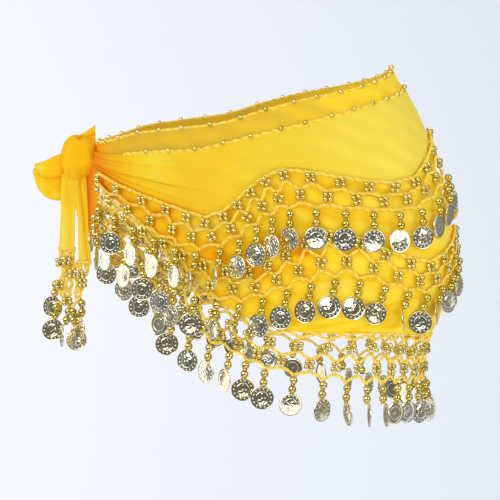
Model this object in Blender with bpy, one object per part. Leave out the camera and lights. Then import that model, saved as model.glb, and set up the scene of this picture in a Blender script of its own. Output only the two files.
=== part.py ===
"""Coin hip scarf of thin cloth, worn round the hips and tied in a knot at the wearer's right side.

Metres, +Z up. The wearer faces -Y. The origin is on the axis of the hips, level with the knot.
A place on the hips is an angle round them (0 at the wearer's left, -90 in front), a height, and
a lift, its distance outside the hips. Sizes below are in millimetres and degrees; MM makes metres.
"""
import bmesh
import bpy
import numpy as np

MM = 0.001

# ---- the hips that the cloth is worn on: height, half width, and how far the section sits to the left
HIP_SECTIONS = np.array([
    (-240, 160, 0),
    (-170, 162, 0),
    (-135, 171, 6),
    (-90, 177, 10),
    (-45, 173, 7),
    (0, 165, 0),
    (36, 156, -8),
    (80, 143, -23),
])
HIP_DEPTH = 0.68             # depth of a section as a share of its width
CENTRE = 25.0                # angle of the scarf's middle, where its two halves mirror each other
KNOT = CENTRE - 180.0        # angle of the knot
CLOTH_END = -154.9           # angle where the cloth ends, behind the knot

# ---- cloth
CLOTH = 1.2                  # wall thickness
PLY_GAP = 0.4                # between two plies
SEAM = 0.1                   # half the parting between two stretches of a ply, in degrees
BACK_SEAM = 115.0            # angle of the parting in the inner ply behind the hips
COLUMN_STEP = 8.2            # angle of one facet
INNER_ROWS = 5               # facets from the top edge to the hem
PLEATS = 4                   # folds that fan out of the knot over the outer ply
PLEAT_HEIGHT = (1.6, 2.6, 2.0, 1.2)
PLEAT_FADE = (-146.0, -62.0)  # angles between which the pleats flatten out
PLEAT_GATHER = (-153.0, -145.0)  # angles between which they rise out of the knot
TOP_EDGE = np.array([        # angle, height of the inner ply's top edge
    (-148, 4), (-125, 10), (-113, 16), (-93, 22), (-74, 29),
    (-62, 38), (-49, 46), (-22, 57), (6, 68), (25, 75),
])
SECOND_EDGE = np.array([     # angle, height of the outer ply's top edge
    (-148, -3), (-125, -3), (-100, 2), (-85, 5), (-71, 14),
    (-50, 27), (-22, 42), (4, 52), (25, 58),
])

# ---- net of crocheted strands, and the drops of two beads and a coin that hang from it
STRAND = 2.6                 # width of a strand
STRAND_RISE = 1.4            # its thickness
MITRE = 0.78                 # least share of a corner's opening, which keeps sharp bends short
FLOWER = 4.6                 # half the height of a bead flower, which joins one chain to the next
STUB_END = 4.4               # how far the last flower reaches below its middle
LAST_CHAIN = 6.6             # depth of the last chain's crest below the middle of the flower over it
BEAD_RADIUS = 3.5
BEAD_NECK = 4.2              # from a bead's middle to the neck over or under it
BEAD_STEP = 8.5              # from one bead to the next
NECK_RADIUS = 1.1
COIN_RADIUS = 10.0
COIN_DROP = 23.5             # from the first bead's middle to the coin's
COIN_RISE = 1.3              # thickness of a coin
TURN_SWING = 34.0            # how far the coins turn on their threads
EDGE_ON = 72.0               # turn of the few coins that hang edge on
CALM_PITCHES = 7             # nearer the knot, where the drops crowd, coins hang further out
CROWD_TURN = -36.0           # and all turn the same way, their faces towards the scarf's middle
FIRST_TURN = 26.0            # except the coin beside the knot

# Each row: pitch number counted from the knot, angle and height of its upper flower,
# angle and height of its drop's first bead. The last line is the scarf's middle.
ROW_1 = np.array([
    (0, -135, -25, -130.6, -53),
    (1, -120, -33, -119.2, -59),
    (2, -107, -41, -109.7, -66.5),
    (4, -90, -53, -93.6, -82),
    (5, -84, -57, -86.7, -85),
    (6, -78, -51, -79.2, -81),
    (8, -69, -30, -68, -61),
    (10, -58, -15, -57, -47),
    (12, -40, -21, -40, -47),
    (14, -19, -26, -19, -49),
    (15, -8, -22, -8, -47),
    (16, 3, -10, 5, -39),
    (18, 25, 16, 25, -22),
])
ROW_2 = np.array([
    (0, -137, -34, -137.5, -61),
    (2, -116, -58, -115.0, -87),
    (4, -99, -77, -99.7, -106.5),
    (5, -92, -87, -94.2, -118),
    (7, -78, -98, -80, -127),
    (8, -71, -98, -73, -128),
    (10, -60, -83, -59, -115),
    (12, -47, -66, -45, -105),
    (13, -37, -72, -37, -106),
    (14, -28, -82, -28, -111),
    (16, -8, -94, -8, -121),
    (18, 10, -80, 10, -106),
    (20, 25, -68, 25, -95),
])
ROW_3 = np.array([
    (0, -136, -46, -136.4, -77),
    (2, -113, -68, -117.2, -100),
    (4, -98, -96, -102.4, -128),
    (6, -87, -124, -89, -158),
    (8, -76, -144, -75, -172),
    (10, -62, -158, -63, -186),
    (12, -43, -163, -43, -195),
    (14, -25, -164, -26, -200),
    (16, -10, -167, -11, -201),
    (18, 7, -171, 5, -203),
    (20, 25, -173, 25, -205),
])
# lifts of each row: backs of its net, beads and coins, of its coins near the knot, and of the surface
# that a turned coin must clear; rise is the upper chain's height over its flower
ROWS = {
    "row_1": dict(table=ROW_1, net=4.3, bead=4.4, coin=4.9, crowded=12.3, clear=4.0, rise=4.6, edge_on=()),
    "row_2": dict(table=ROW_2, net=2.1, bead=2.4, coin=3.2, crowded=8.2, clear=1.8, rise=4.6,
                  edge_on=(17,)),
    "row_3": dict(table=ROW_3, net=-0.4, bead=-0.4, coin=2.0, crowded=2.0, clear=0.0, rise=8.0,
                  edge_on=(13, 14, 15)),
}
OUTER_EDGE_RISE = 6.8        # outer ply's lower edge over the flowers of row 1
HEM_RISE = 13.9              # hem over the flowers of row 3
HEM_ARCH = 3.5               # arch of row 3's upper chain between two flowers

# ---- knot and ends: n is out from the hips, c is along them towards the front, both from the knot's foot
KNOT_CENTRE = np.array((18.2, 0.0, -10.0))
KNOT_RADII = np.array((15.8, 16.0, 21.5))
KNOT_POWER = 2.5             # 2 is an ellipsoid, more is boxier
KNOT_FOLD = 0.05             # depth of the wrapped cloth's folds, as a share of the radius
TIP_SECTIONS = np.array([    # n, lower and upper edge of the short tip that stands up from the knot
    (12.3, 10.9, 12.6),
    (6.6, 8.6, 16.5),
    (2.0, 4.6, 20.8),
])
TIP_CURL = 2.0               # how far the tip's middle stands out of flat
LOOP_SECTIONS = np.array([   # n, upper and lower edge of the flattened loop beside the knot
    (35.4, -7.5, -49.5),
    (42.0, -10, -49),
    (49.0, -13.5, -46.5),
    (55.0, -16, -37),
    (58.5, -17.5, -24),
])
LOOP_C = -3.0
# tails: n of both sides at the top and at the hem, c of both sides, height of the hem, number of folds
TAILS = {
    "tail_long": dict(top=(10.5, 18.6), hem=(8.4, 17.4), c=(7.0, 7.0), end=-106, folds=1.5),
    "tail_short": dict(top=(19.6, 31.4), hem=(21.6, 36.0), c=(5.0, 5.0), end=-94, folds=1.3),
    "tail_under": dict(top=(1.6, 9.6), hem=(0.4, 8.6), c=(17.0, 0.0), end=-84, folds=0.8),
}
TAIL_WALL = 1.5
TAIL_WAVE = 1.6              # depth of a tail's lengthwise folds
TAIL_TOP = -26.0             # highest that a tail starts beside the knot
TAIL_NET_RISE = 11.3         # upper chain of a tail's net over its flowers
TAIL_BEAD_LIFT = 0.5
# drop number, n and height of its flower, n and height of its first bead, lift of its coin, turn
TAIL_NETS = {
    "tail_short": np.array([
        (0, 34.0, -107, 38.0, -146, 2.0, 10),
        (1, 28.0, -107, 27.5, -141, 9.0, -8),
        (2, 22.5, -107, 19.4, -155, 2.0, 8),
    ]),
    "tail_long": np.array([
        (0, 15.8, -119, 15.0, -150, 7.0, -12),
        (1, 9.0, -119, 4.5, -143, 10.0, 72),
    ]),
}
TAIL_NET_C = {"tail_short": 4.0, "tail_long": 8.0}


def fold(angle):
    """Angle on the front half that mirrors the given one."""
    return CENTRE - np.abs(np.asarray(angle, float) - CENTRE)


def smooth(table, column, x):
    """Read a column of a table at x, on the cubic Hermite curve through its rows."""
    xs, ys = table[:, 0].astype(float), table[:, column].astype(float)
    slope = np.gradient(ys, xs)
    x = np.clip(x, xs[0], xs[-1])
    i = np.clip(np.searchsorted(xs, x, side="right") - 1, 0, len(xs) - 2)
    step = xs[i + 1] - xs[i]
    u = (x - xs[i]) / step
    start = (1 + 2 * u) * (1 - u) ** 2 * ys[i] + u * (1 - u) ** 2 * step * slope[i]
    end = u * u * (3 - 2 * u) * ys[i + 1] + u * u * (u - 1) * step * slope[i + 1]
    return start + end


def ease(x, start, end):
    """0 before start, 1 after end, smooth between."""
    u = np.clip((x - start) / (end - start), 0, 1)
    return u * u * (3 - 2 * u)


def hip_points(angle, height, lift):
    """Points on the hips: an ellipse at each height, grown by the lift."""
    half = smooth(HIP_SECTIONS, 1, height)
    centre = smooth(HIP_SECTIONS, 2, height)
    turn = np.radians(angle)
    x = centre + (half + lift) * np.cos(turn)
    y = (HIP_DEPTH * half + lift) * np.sin(turn)
    return np.stack(np.broadcast_arrays(x, y, height), axis=-1)


def hip_place(angle, height, lift):
    """A point on the hips, the level direction along them, and the level direction out of them."""
    turn = np.radians(angle)
    along = np.array((-np.sin(turn), HIP_DEPTH * np.cos(turn), 0.0))
    along /= np.linalg.norm(along)
    out = np.array((along[1], -along[0], 0.0))
    return hip_points(angle, float(height), lift), along, out


KNOT_FOOT, KNOT_ALONG, KNOT_OUT = hip_place(KNOT, 0.0, 0.0)


def knot_points(n, c, height):
    """Points given from the knot's foot: n out of the hips, c along them towards the front."""
    n, c, height = np.broadcast_arrays(n, c, height)
    offset = n[..., None] * KNOT_OUT + c[..., None] * KNOT_ALONG
    return KNOT_FOOT + offset + height[..., None] * np.array((0.0, 0.0, 1.0))


def knot_underside(n, c):
    """Height of the knot's underside over a place below it."""
    share = np.abs((n - KNOT_CENTRE[0]) / KNOT_RADII[0]) ** KNOT_POWER
    share = np.clip(share + np.abs((c - KNOT_CENTRE[1]) / KNOT_RADII[1]) ** KNOT_POWER, 0, 1)
    return KNOT_CENTRE[2] - KNOT_RADII[2] * (1 + KNOT_FOLD) * (1 - share) ** (1 / KNOT_POWER)


def finish(name, points, faces, material):
    """Make one object of the points, given in millimetres."""
    mesh = bpy.data.meshes.new(name)
    mesh.from_pydata((np.asarray(points) * MM).tolist(), [], faces)
    shape = bmesh.new()
    shape.from_mesh(mesh)
    bmesh.ops.recalc_face_normals(shape, faces=shape.faces)
    bmesh.ops.triangulate(shape, faces=shape.faces)
    shape.to_mesh(mesh)
    shape.free()
    mesh.materials.append(material)
    thing = bpy.data.objects.new(name, mesh)
    bpy.context.scene.collection.objects.link(thing)
    return thing


def wall(name, inside, outside, material):
    """A closed wall between two grids of points that face each other."""
    columns, rows = inside.shape[:2]
    number = np.arange(columns * rows).reshape(columns, rows)
    far = columns * rows
    a, b = number[:-1, :-1], number[1:, :-1]
    c, d = number[1:, 1:], number[:-1, 1:]
    quads = np.stack([a, d, c, b], axis=-1).reshape(-1, 4)
    faces = quads.tolist() + (quads[:, ::-1] + far).tolist()
    border = np.concatenate([number[:-1, 0], number[-1, :-1], number[:0:-1, -1], number[0, :0:-1]])
    for start, end in zip(border, np.roll(border, -1)):
        faces.append([int(start), int(end), int(end) + far, int(start) + far])
    return finish(name, np.concatenate([inside.reshape(-1, 3), outside.reshape(-1, 3)]), faces, material)


def ring_cloth(name, ends, top, bottom, lift, rows, pleat, material):
    """Cloth round the hips between two angles. Column i is at one angle, and row j is a share of the
    way from the top edge down to the bottom edge; pleats move both skins out together."""
    columns = round((ends[1] - ends[0]) / COLUMN_STEP)
    angle, share = np.meshgrid(np.linspace(*ends, columns + 1), np.linspace(0, 1, rows + 1), indexing="ij")
    near = fold(angle)
    height = top(near) + (bottom(near) - top(near)) * share
    raised = lift + pleat(near, share)
    inside = hip_points(angle, height, raised)
    outside = hip_points(angle, height, raised + CLOTH)
    return wall(name, inside, outside, material)


def flat(angle, share):
    """No pleats."""
    return 0.0 * share


def fan_pleats(angle, share):
    """Pleats that run out of the knot: crests at even shares of the ply's height, fading along it."""
    crest = np.sin(PLEATS * np.pi * share) ** 2
    height = np.interp(share, (np.arange(PLEATS) + 0.5) / PLEATS, PLEAT_HEIGHT)
    return crest * height * ease(angle, *PLEAT_GATHER) * (1 - ease(angle, *PLEAT_FADE))


def edge_over_flowers(row, rise):
    """An edge of cloth that keeps a constant rise over a row's upper flowers."""
    table = ROWS[row]["table"][:, 1:3]
    return lambda angle: smooth(table, 1, angle) + rise


OUTER_STRETCHES = {
    "front": (CLOTH_END, CENTRE - SEAM),
    "back": (CENTRE + SEAM, 2 * CENTRE - CLOTH_END),
}
INNER_STRETCHES = {
    "front": OUTER_STRETCHES["front"],
    "back_right": (CENTRE + SEAM, BACK_SEAM - SEAM),
    "back_left": (BACK_SEAM + SEAM, 2 * CENTRE - CLOTH_END),
}


def make_cloth(material):
    """The inner ply from the top edge to the hem, and the outer ply that ends at the first row."""
    for side, ends in INNER_STRETCHES.items():
        ring_cloth("inner_ply_" + side, ends, lambda angle: smooth(TOP_EDGE, 1, angle),
                   edge_over_flowers("row_3", HEM_RISE), 0.0, INNER_ROWS, flat, material)
    for side, ends in OUTER_STRETCHES.items():
        ring_cloth("outer_ply_" + side, ends, lambda angle: smooth(SECOND_EDGE, 1, angle),
                   edge_over_flowers("row_1", OUTER_EDGE_RISE), CLOTH + PLY_GAP, 2 * PLEATS,
                   fan_pleats, material)


class Strands:
    """Strands that meet at points and make one closed solid: flat behind, with a ridge in front.

    Each point has a middle, half the strand's width and its rise. Between two neighbours of a point
    lies one corner, on the line that halves the angle between them; each strand joins the corners
    beside it and the ridge. A point with a turn is level across instead, turned about the upright."""

    def __init__(self, place):
        self.place = place
        self.rows = []
        self.near = []

    def add(self, x, height, lift, half=STRAND / 2, rise=STRAND_RISE, turn=None):
        """Add a point and return its number."""
        middle, along, out = self.place(x, height, lift)
        self.rows.append((middle, along, out, half, rise, turn))
        self.near.append([])
        return len(self.rows) - 1

    def join(self, *numbers):
        """Join points one after another."""
        for first, second in zip(numbers[:-1], numbers[1:]):
            self.near[first].append(second)
            self.near[second].append(first)

    def heading(self, number, other):
        """Angle of the strand from one point to another, seen from outside."""
        middle, along = self.rows[number][:2]
        step = self.rows[other][0] - middle
        return np.arctan2(step[2], step @ along)

    def corners(self, number):
        """Corner points around a point, in the order of its sorted neighbours."""
        middle, along, out, half, _, turn = self.rows[number]
        angles = [self.heading(number, other) for other in self.near[number]]
        if len(angles) == 1:
            halves = [(angles[0] + np.pi / 2, 1.0), (angles[0] - np.pi / 2, 1.0)]
        else:
            after = angles[1:] + [angles[0] + 2 * np.pi]
            halves = [((a + b) / 2, np.sin((b - a) / 2)) for a, b in zip(angles, after)]
        if turn is None:
            reach = [half / max(opening, MITRE) for _, opening in halves]
            flatways = np.array([(np.cos(a) * r, np.sin(a) * r) for (a, _), r in zip(halves, reach)])
            return middle + flatways[:, :1] * along + flatways[:, 1:] * np.array((0.0, 0.0, 1.0))
        across = np.cos(turn) * along + np.sin(turn) * out
        return np.array([middle + np.sign(np.cos(a)) * half * across for a, _ in halves])

    def ridge(self, number):
        """The point of the ridge in front of a point."""
        middle, along, out, _, rise, turn = self.rows[number]
        turn = turn or 0.0
        return middle + rise * (np.cos(turn) * out - np.sin(turn) * along)

    def solid(self, name, material):
        """Make the closed solid."""
        for number, others in enumerate(self.near):
            others.sort(key=lambda other: self.heading(number, other))
        points, first = [], []
        for number in range(len(self.rows)):
            first.append(len(points))
            points.extend([self.ridge(number), *self.corners(number)])
        faces = []
        for number, others in enumerate(self.near):
            faces.extend(self.strand_faces(number, others, first))
        return finish(name, points, faces, material)

    def corner(self, first, number, slot):
        """Number of the mesh point for a corner of a point."""
        count = max(len(self.near[number]), 2)
        return first[number] + 1 + slot % count

    def strand_faces(self, number, others, first):
        """Faces of the strands from a point to its later neighbours, and the point's own face."""
        faces = []
        for slot, other in enumerate(others):
            if other < number:
                continue
            back = self.near[other].index(number)
            left, right = self.corner(first, number, slot), self.corner(first, number, slot - 1)
            far_left, far_right = self.corner(first, other, back - 1), self.corner(first, other, back)
            top, far_top = first[number], first[other]
            faces += [(right, far_right, far_top, top), (top, far_top, far_left, left),
                      (right, left, far_left, far_right)]
        if len(others) == 1:
            faces.append((first[number] + 1, first[number] + 2, first[number]))
        if len(others) > 2:
            faces.append(tuple(first[number] + 1 + slot for slot in reversed(range(len(others)))))
        return faces


class Row:
    """Places of one row's flowers and drops, all round the hips or along a tail."""

    def __init__(self, table, mirrored):
        self.table = table
        self.middle = int(table[-1, 0])
        self.last = 2 * self.middle if mirrored else self.middle

    def read(self, pitch, column):
        """Place along and height, read from two columns of the table."""
        near = min(pitch, 2 * self.middle - pitch)
        x = smooth(self.table, column, near)
        height = smooth(self.table, column + 1, near)
        return (x if pitch <= self.middle else 2 * CENTRE - x), height

    def flower(self, pitch):
        """Upper flower of a pitch."""
        return self.read(pitch, 1)

    def drop(self, pitch):
        """First bead of a pitch's drop."""
        return self.read(pitch, 3)

    def lower_flower(self, pitch):
        """The flower half a pitch on, half way down between the upper flowers and the drops."""
        four = [self.flower(pitch), self.flower(pitch + 1), self.drop(pitch), self.drop(pitch + 1)]
        return sum(x for x, _ in four) / 4, sum(z for _, z in four) / 4


def between(first, second, share):
    """A place part of the way from one to another."""
    return tuple(a + (b - a) * share for a, b in zip(first, second))


def net(row, sizes, pitches, place, cut=(False, False)):
    """Two chains of a net and the flowers between and under them. An end that is cut runs on half way
    to the next flower, where the other half of the row begins."""
    strands = Strands(place)
    lift, rise = sizes["net"], sizes["rise"]
    upper, lower, under = {}, {}, {}
    for pitch in pitches:
        x, z = row.flower(pitch)
        upper[pitch] = strands.add(x, z + rise, lift)
        lower[pitch] = strands.add(x, z - FLOWER, lift)
        strands.join(upper[pitch], lower[pitch])
    for pitch in pitches[:-1]:
        x, z = row.lower_flower(pitch)
        under[pitch] = strands.add(x, z + FLOWER, lift)
        strands.join(under[pitch], strands.add(x, z - STUB_END, lift))
        strands.join(lower[pitch], under[pitch], lower[pitch + 1])
        if sizes["arch"]:
            arch_x, arch_z = between(row.flower(pitch), row.flower(pitch + 1), 0.5)
            crest = strands.add(arch_x, arch_z + rise + sizes["arch"], lift)
            strands.join(upper[pitch], crest, upper[pitch + 1])
        else:
            strands.join(upper[pitch], upper[pitch + 1])
    for pitch, step, is_cut in ((pitches[0], -1, cut[0]), (pitches[-1], 1, cut[1])):
        if is_cut:
            run_on(strands, row, sizes, pitch, step, (upper[pitch], lower[pitch]))
    return strands


def run_on(strands, row, sizes, pitch, step, ends):
    """Short strands past the last flower of a half row, which stop just short of the other half's."""
    x, z = between(row.flower(pitch), row.flower(pitch + step), 0.46)
    strands.join(ends[0], strands.add(x, z + sizes["rise"], sizes["net"]))
    strands.join(ends[1], strands.add(x, z - FLOWER - 1.0, sizes["net"]))


def coin_place(row_number, pitch, sizes, middle):
    """How far a coin has turned on its thread, in radians, and the lift of its back."""
    near = min(pitch, 2 * middle - pitch)
    crowd = 1 - ease(near, CALM_PITCHES - 3, CALM_PITCHES + 1)
    calm = ease(near, CALM_PITCHES, CALM_PITCHES + 3)
    swing = TURN_SWING * calm * np.sin(2.1 * pitch + 1.7 * row_number)
    together = (CROWD_TURN if near else FIRST_TURN) * crowd * (1 if pitch <= middle else -1)
    turn = np.radians(swing + together)
    if near in sizes["edge_on"]:
        turn = np.radians(EDGE_ON)
    lift = sizes["coin"] + (sizes["crowded"] - sizes["coin"]) * crowd
    return turn, max(lift, sizes["clear"] + COIN_RADIUS * abs(np.sin(turn)))


def hang_drop(strands, root, x, z, bead, turn, coin):
    """Two beads and a coin under a chain's point, as sections down the drop. The beads and the coin
    are given by the lift of their backs."""
    wide = COIN_RADIUS * np.cos(np.pi / 8)
    narrow = COIN_RADIUS * np.sin(np.pi / 8)
    neck_in = BEAD_RADIUS - NECK_RADIUS
    sections = (                 # depth, lift, half width, rise
        (0.0, bead, BEAD_RADIUS, 2 * BEAD_RADIUS),
        (BEAD_STEP / 2, bead + neck_in, NECK_RADIUS, 2 * NECK_RADIUS),
        (BEAD_STEP, bead, BEAD_RADIUS, 2 * BEAD_RADIUS),
        (BEAD_STEP + BEAD_NECK, max(bead + neck_in, coin - 0.4), NECK_RADIUS, 2 * NECK_RADIUS),
        (COIN_DROP - wide, coin, narrow, COIN_RISE),
        (COIN_DROP - narrow, coin, wide, COIN_RISE),
        (COIN_DROP + narrow, coin, wide, COIN_RISE),
        (COIN_DROP + wide, coin, narrow, COIN_RISE),
    )
    chain = [root]
    for number, (depth, lift, half, rise) in enumerate(sections):
        chain.append(strands.add(x, z - depth, lift, half, rise, turn if number > 3 else 0.0))
    strands.join(*chain)


def drops(row, sizes, pitches, place, coins):
    """The row's last chain and the drops that hang from it, one for each pitch. The function coins
    gives a pitch's turn and lift."""
    strands = Strands(place)
    roots, crests = {}, {}
    for pitch in pitches:
        x, z = row.drop(pitch)
        roots[pitch] = strands.add(x, z + BEAD_NECK, sizes["net"])
        hang_drop(strands, roots[pitch], x, z, sizes["bead"], *coins(pitch))
    for pitch in pitches[:-1]:
        x, z = row.lower_flower(pitch)
        crests[pitch] = strands.add(x, z - LAST_CHAIN, sizes["net"])
        strands.join(roots[pitch], crests[pitch], roots[pitch + 1])
    return strands


def make_rows(thread, metal):
    """The three rows of net and coins round the hips, each in a front and a back half."""
    for number, (name, sizes) in enumerate(ROWS.items(), start=1):
        row = Row(sizes["table"], mirrored=True)
        sizes = dict(sizes, arch=HEM_ARCH if name == "row_3" else 0.0)
        halves = {"front": range(0, row.middle + 1), "back": range(row.middle + 1, row.last + 1)}

        def coins(pitch, number=number, sizes=sizes, row=row):
            return coin_place(number, pitch, sizes, row.middle)

        for side, pitches in halves.items():
            cut = (side == "back", side == "front")
            net(row, sizes, pitches, hip_place, cut).solid("net_" + name + "_" + side, thread)
            drops(row, sizes, pitches, hip_place, coins).solid("coins_" + name + "_" + side, metal)


def make_knot(material):
    """The knot: a rounded lump whose radius swings a little, as the wrapped cloth does."""
    around, tall = 16, 9
    turn = np.linspace(0, 2 * np.pi, around, endpoint=False)
    rise = np.linspace(-np.pi / 2, np.pi / 2, tall + 2)[1:-1]
    rise, turn = np.meshgrid(rise, turn, indexing="ij")

    def power(value):
        return np.sign(value) * np.abs(value) ** (2 / KNOT_POWER)

    grow = 1 + KNOT_FOLD * np.cos(3 * turn + 2 * rise)
    n = KNOT_CENTRE[0] + KNOT_RADII[0] * grow * power(np.cos(rise)) * power(np.cos(turn))
    c = KNOT_CENTRE[1] + KNOT_RADII[1] * grow * power(np.cos(rise)) * power(np.sin(turn))
    z = KNOT_CENTRE[2] + KNOT_RADII[2] * power(np.sin(rise))
    ends = KNOT_CENTRE[2] + KNOT_RADII[2] * np.array((-1.0, 1.0))
    poles = knot_points(KNOT_CENTRE[0], KNOT_CENTRE[1], ends)
    points = np.concatenate([knot_points(n, c, z).reshape(-1, 3), poles])
    number = np.arange(tall * around).reshape(tall, around)
    beside = np.roll(number, -1, axis=1)
    faces = np.stack([number[:-1], beside[:-1], beside[1:], number[1:]], axis=-1).reshape(-1, 4).tolist()
    low, high = tall * around, tall * around + 1
    faces += [(int(b), int(a), low) for a, b in zip(number[0], beside[0])]
    faces += [(int(a), int(b), high) for a, b in zip(number[-1], beside[-1])]
    finish("knot", points, faces, material)


def make_tip(material):
    """The short tip of cloth that stands up from the knot."""
    n, lower, upper = TIP_SECTIONS[:, 0:1], TIP_SECTIONS[:, 1:2], TIP_SECTIONS[:, 2:3]
    share = np.linspace(0, 1, 3)
    z = lower + (upper - lower) * share
    c = TIP_CURL * np.sin(np.pi * share)
    wall("knot_tip", knot_points(n, c, z), knot_points(n, c + CLOTH, z), material)


def make_loop(material):
    """The flattened loop beside the knot: its height follows the sections, and it folds lengthwise."""
    n = np.linspace(LOOP_SECTIONS[0, 0], LOOP_SECTIONS[-1, 0], 8)[:, None]
    share = np.linspace(0, 1, 9)[None, :]
    top, bottom = smooth(LOOP_SECTIONS, 1, n), smooth(LOOP_SECTIONS, 2, n)
    z = top + (bottom - top) * share
    spread = ease(n, LOOP_SECTIONS[0, 0] - 6, LOOP_SECTIONS[-1, 0])
    c = LOOP_C + (1.5 + 1.5 * spread) * np.cos(4 * np.pi * share)
    wall("knot_loop", knot_points(n, c, z), knot_points(n, c + 2 * CLOTH, z), material)


def make_tails(material):
    """The cloth ends that hang below the knot, with folds that run down them."""
    for name, tail in TAILS.items():
        share = np.linspace(0, 1, 9)[:, None]
        down = np.linspace(0, 1, 6)[None, :]
        top_n = tail["top"][0] + (tail["top"][1] - tail["top"][0]) * share
        hem_n = tail["hem"][0] + (tail["hem"][1] - tail["hem"][0]) * share
        n = top_n + (hem_n - top_n) * down
        wave = TAIL_WAVE * np.sin(2 * np.pi * tail["folds"] * share)
        c = tail["c"][0] + (tail["c"][1] - tail["c"][0]) * share + wave + 0 * down
        start = np.minimum(knot_underside(top_n, c[:, :1] + TAIL_WALL / 2) - 0.5, TAIL_TOP)
        z = start + (tail["end"] - start) * down
        wall(name, knot_points(n, c, z), knot_points(n, c + TAIL_WALL, z), material)


def make_tail_nets(thread, metal):
    """A short net with drops at the end of each long tail."""
    for name, table in TAIL_NETS.items():
        row = Row(table * np.array((1, -1, 1, -1, 1, 1, 1)), mirrored=False)
        sizes = dict(net=0.0, bead=TAIL_BEAD_LIFT, rise=TAIL_NET_RISE, arch=0.0)

        def place(x, height, lift, front=TAIL_NET_C[name]):
            return knot_points(-x, front + lift, height), -KNOT_OUT, KNOT_ALONG

        def coins(pitch, table=table):
            return np.radians(table[pitch, 6]), table[pitch, 5]

        pitches = range(0, row.middle + 1)
        net(row, sizes, pitches, place).solid("net_" + name, thread)
        drops(row, sizes, pitches, place, coins).solid("coins_" + name, metal)


def finish_material(name, colour, roughness, metallic):
    """A plain material of one colour."""
    material = bpy.data.materials.new(name)
    material.use_nodes = True
    shader = material.node_tree.nodes["Principled BSDF"]
    shader.inputs["Base Color"].default_value = (*colour, 1.0)
    shader.inputs["Roughness"].default_value = roughness
    shader.inputs["Metallic"].default_value = metallic
    return material


def main():
    """Build the whole scarf."""
    for thing in list(bpy.data.objects):
        bpy.data.objects.remove(thing, do_unlink=True)
    cloth = finish_material("yellow_cloth", (0.95, 0.62, 0.04), 0.7, 0.0)
    thread = finish_material("yellow_thread", (0.95, 0.68, 0.10), 0.6, 0.0)
    metal = finish_material("gilt_metal", (0.80, 0.70, 0.40), 0.25, 1.0)
    make_cloth(cloth)
    make_rows(thread, metal)
    make_knot(cloth)
    make_tip(cloth)
    make_loop(cloth)
    make_tails(cloth)
    make_tail_nets(thread, metal)


main()
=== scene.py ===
import bpy
import numpy as np
from mathutils import Matrix


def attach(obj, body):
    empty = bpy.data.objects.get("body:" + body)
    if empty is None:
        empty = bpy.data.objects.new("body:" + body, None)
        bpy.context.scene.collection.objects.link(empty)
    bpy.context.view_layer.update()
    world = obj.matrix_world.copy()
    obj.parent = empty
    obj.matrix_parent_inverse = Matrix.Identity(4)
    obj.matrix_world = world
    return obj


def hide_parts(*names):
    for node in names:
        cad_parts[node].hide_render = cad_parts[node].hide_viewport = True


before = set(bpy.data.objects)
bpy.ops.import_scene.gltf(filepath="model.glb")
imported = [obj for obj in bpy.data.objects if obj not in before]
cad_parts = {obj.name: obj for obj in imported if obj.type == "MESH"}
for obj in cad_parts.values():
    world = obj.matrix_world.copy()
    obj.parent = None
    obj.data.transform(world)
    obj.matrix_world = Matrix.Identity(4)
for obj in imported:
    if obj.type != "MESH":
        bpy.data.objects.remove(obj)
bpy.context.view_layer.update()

# Coin hip scarf: chiffon in two plies, tied in a side knot, with crocheted bead nets and rows of drops.
# Sizes are in millimetres and degrees. A place on the hips is an angle round them (-90 in front), a
# height, and a lift, its distance outside the hips. In the knot's own frame, n runs out of the hips
# and c along them towards the front.

MM = 0.001
UP = np.array((0.0, 0.0, 1.0))
DICE = np.random.default_rng(11)

# ---- the hips that the scarf is worn on: height, half width, how far the section sits to the left
HIP_SECTIONS = np.array([
    (-240, 160, 0), (-170, 162, 0), (-135, 171, 6), (-90, 177, 10),
    (-45, 173, 7), (0, 165, 0), (36, 156, -8), (80, 143, -23),
])
HIP_DEPTH = 0.68
CENTRE = 25.0                # angle of the scarf's middle, where its halves mirror each other
KNOT = CENTRE - 180.0
CLOTH_END = -154.9
OUTER_LIFT = 1.7             # inside of the outer ply

TOP_EDGE = np.array([        # angle, height
    (-148, 4), (-125, 10), (-113, 16), (-93, 22), (-74, 29),
    (-62, 38), (-49, 46), (-22, 57), (6, 68), (25, 75),
])
SECOND_EDGE = np.array([
    (-148, -3), (-125, -3), (-100, 2), (-85, 5), (-71, 14),
    (-50, 27), (-22, 42), (4, 52), (25, 58),
])

# ---- rows: pitch counted from the knot, angle and height of the upper flower, angle and height of
# the drop's first bead
ROW_1 = np.array([
    (0, -135, -25, -130.6, -53), (1, -120, -33, -119.2, -59), (2, -107, -41, -109.7, -66.5),
    (4, -90, -53, -93.6, -82), (5, -84, -57, -86.7, -85), (6, -78, -51, -79.2, -81),
    (8, -69, -30, -68, -61), (10, -58.2, -15, -57.8, -47), (12, -40.7, -21, -41, -47),
    (14, -20.7, -26, -21.7, -49), (15, -10, -22, -11.5, -47), (16, 0, -10, 0, -39), (18, 25, 16, 25, -22),
])
ROW_2 = np.array([
    (0, -137, -34, -137.5, -61), (2, -116, -58, -115.0, -87), (4, -99, -77, -99.7, -106.5),
    (5, -92, -87, -94.2, -118), (7, -78, -98, -80, -127), (8, -71, -98, -73, -128),
    (10, -60, -83, -59, -115), (12, -47, -66, -45, -105), (13, -37, -72, -37, -106),
    (14, -28, -82, -28, -111), (16, -8, -94, -8, -121), (18, 10, -80, 10, -106), (20, 25, -68, 25, -95),
])
ROW_3 = np.array([
    (0, -136, -46, -136.4, -77), (2, -113, -68, -117.2, -100), (4, -98, -96, -102.4, -128),
    (6, -87, -124, -89, -158), (8, -76, -144, -75, -172), (10, -62, -158, -63, -186),
    (12, -43, -163, -43, -195), (14, -25, -164, -26, -200), (16, -10, -167, -11, -201),
    (18, 7, -171, 5, -203), (20, 25, -173, 25, -205),
])
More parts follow.
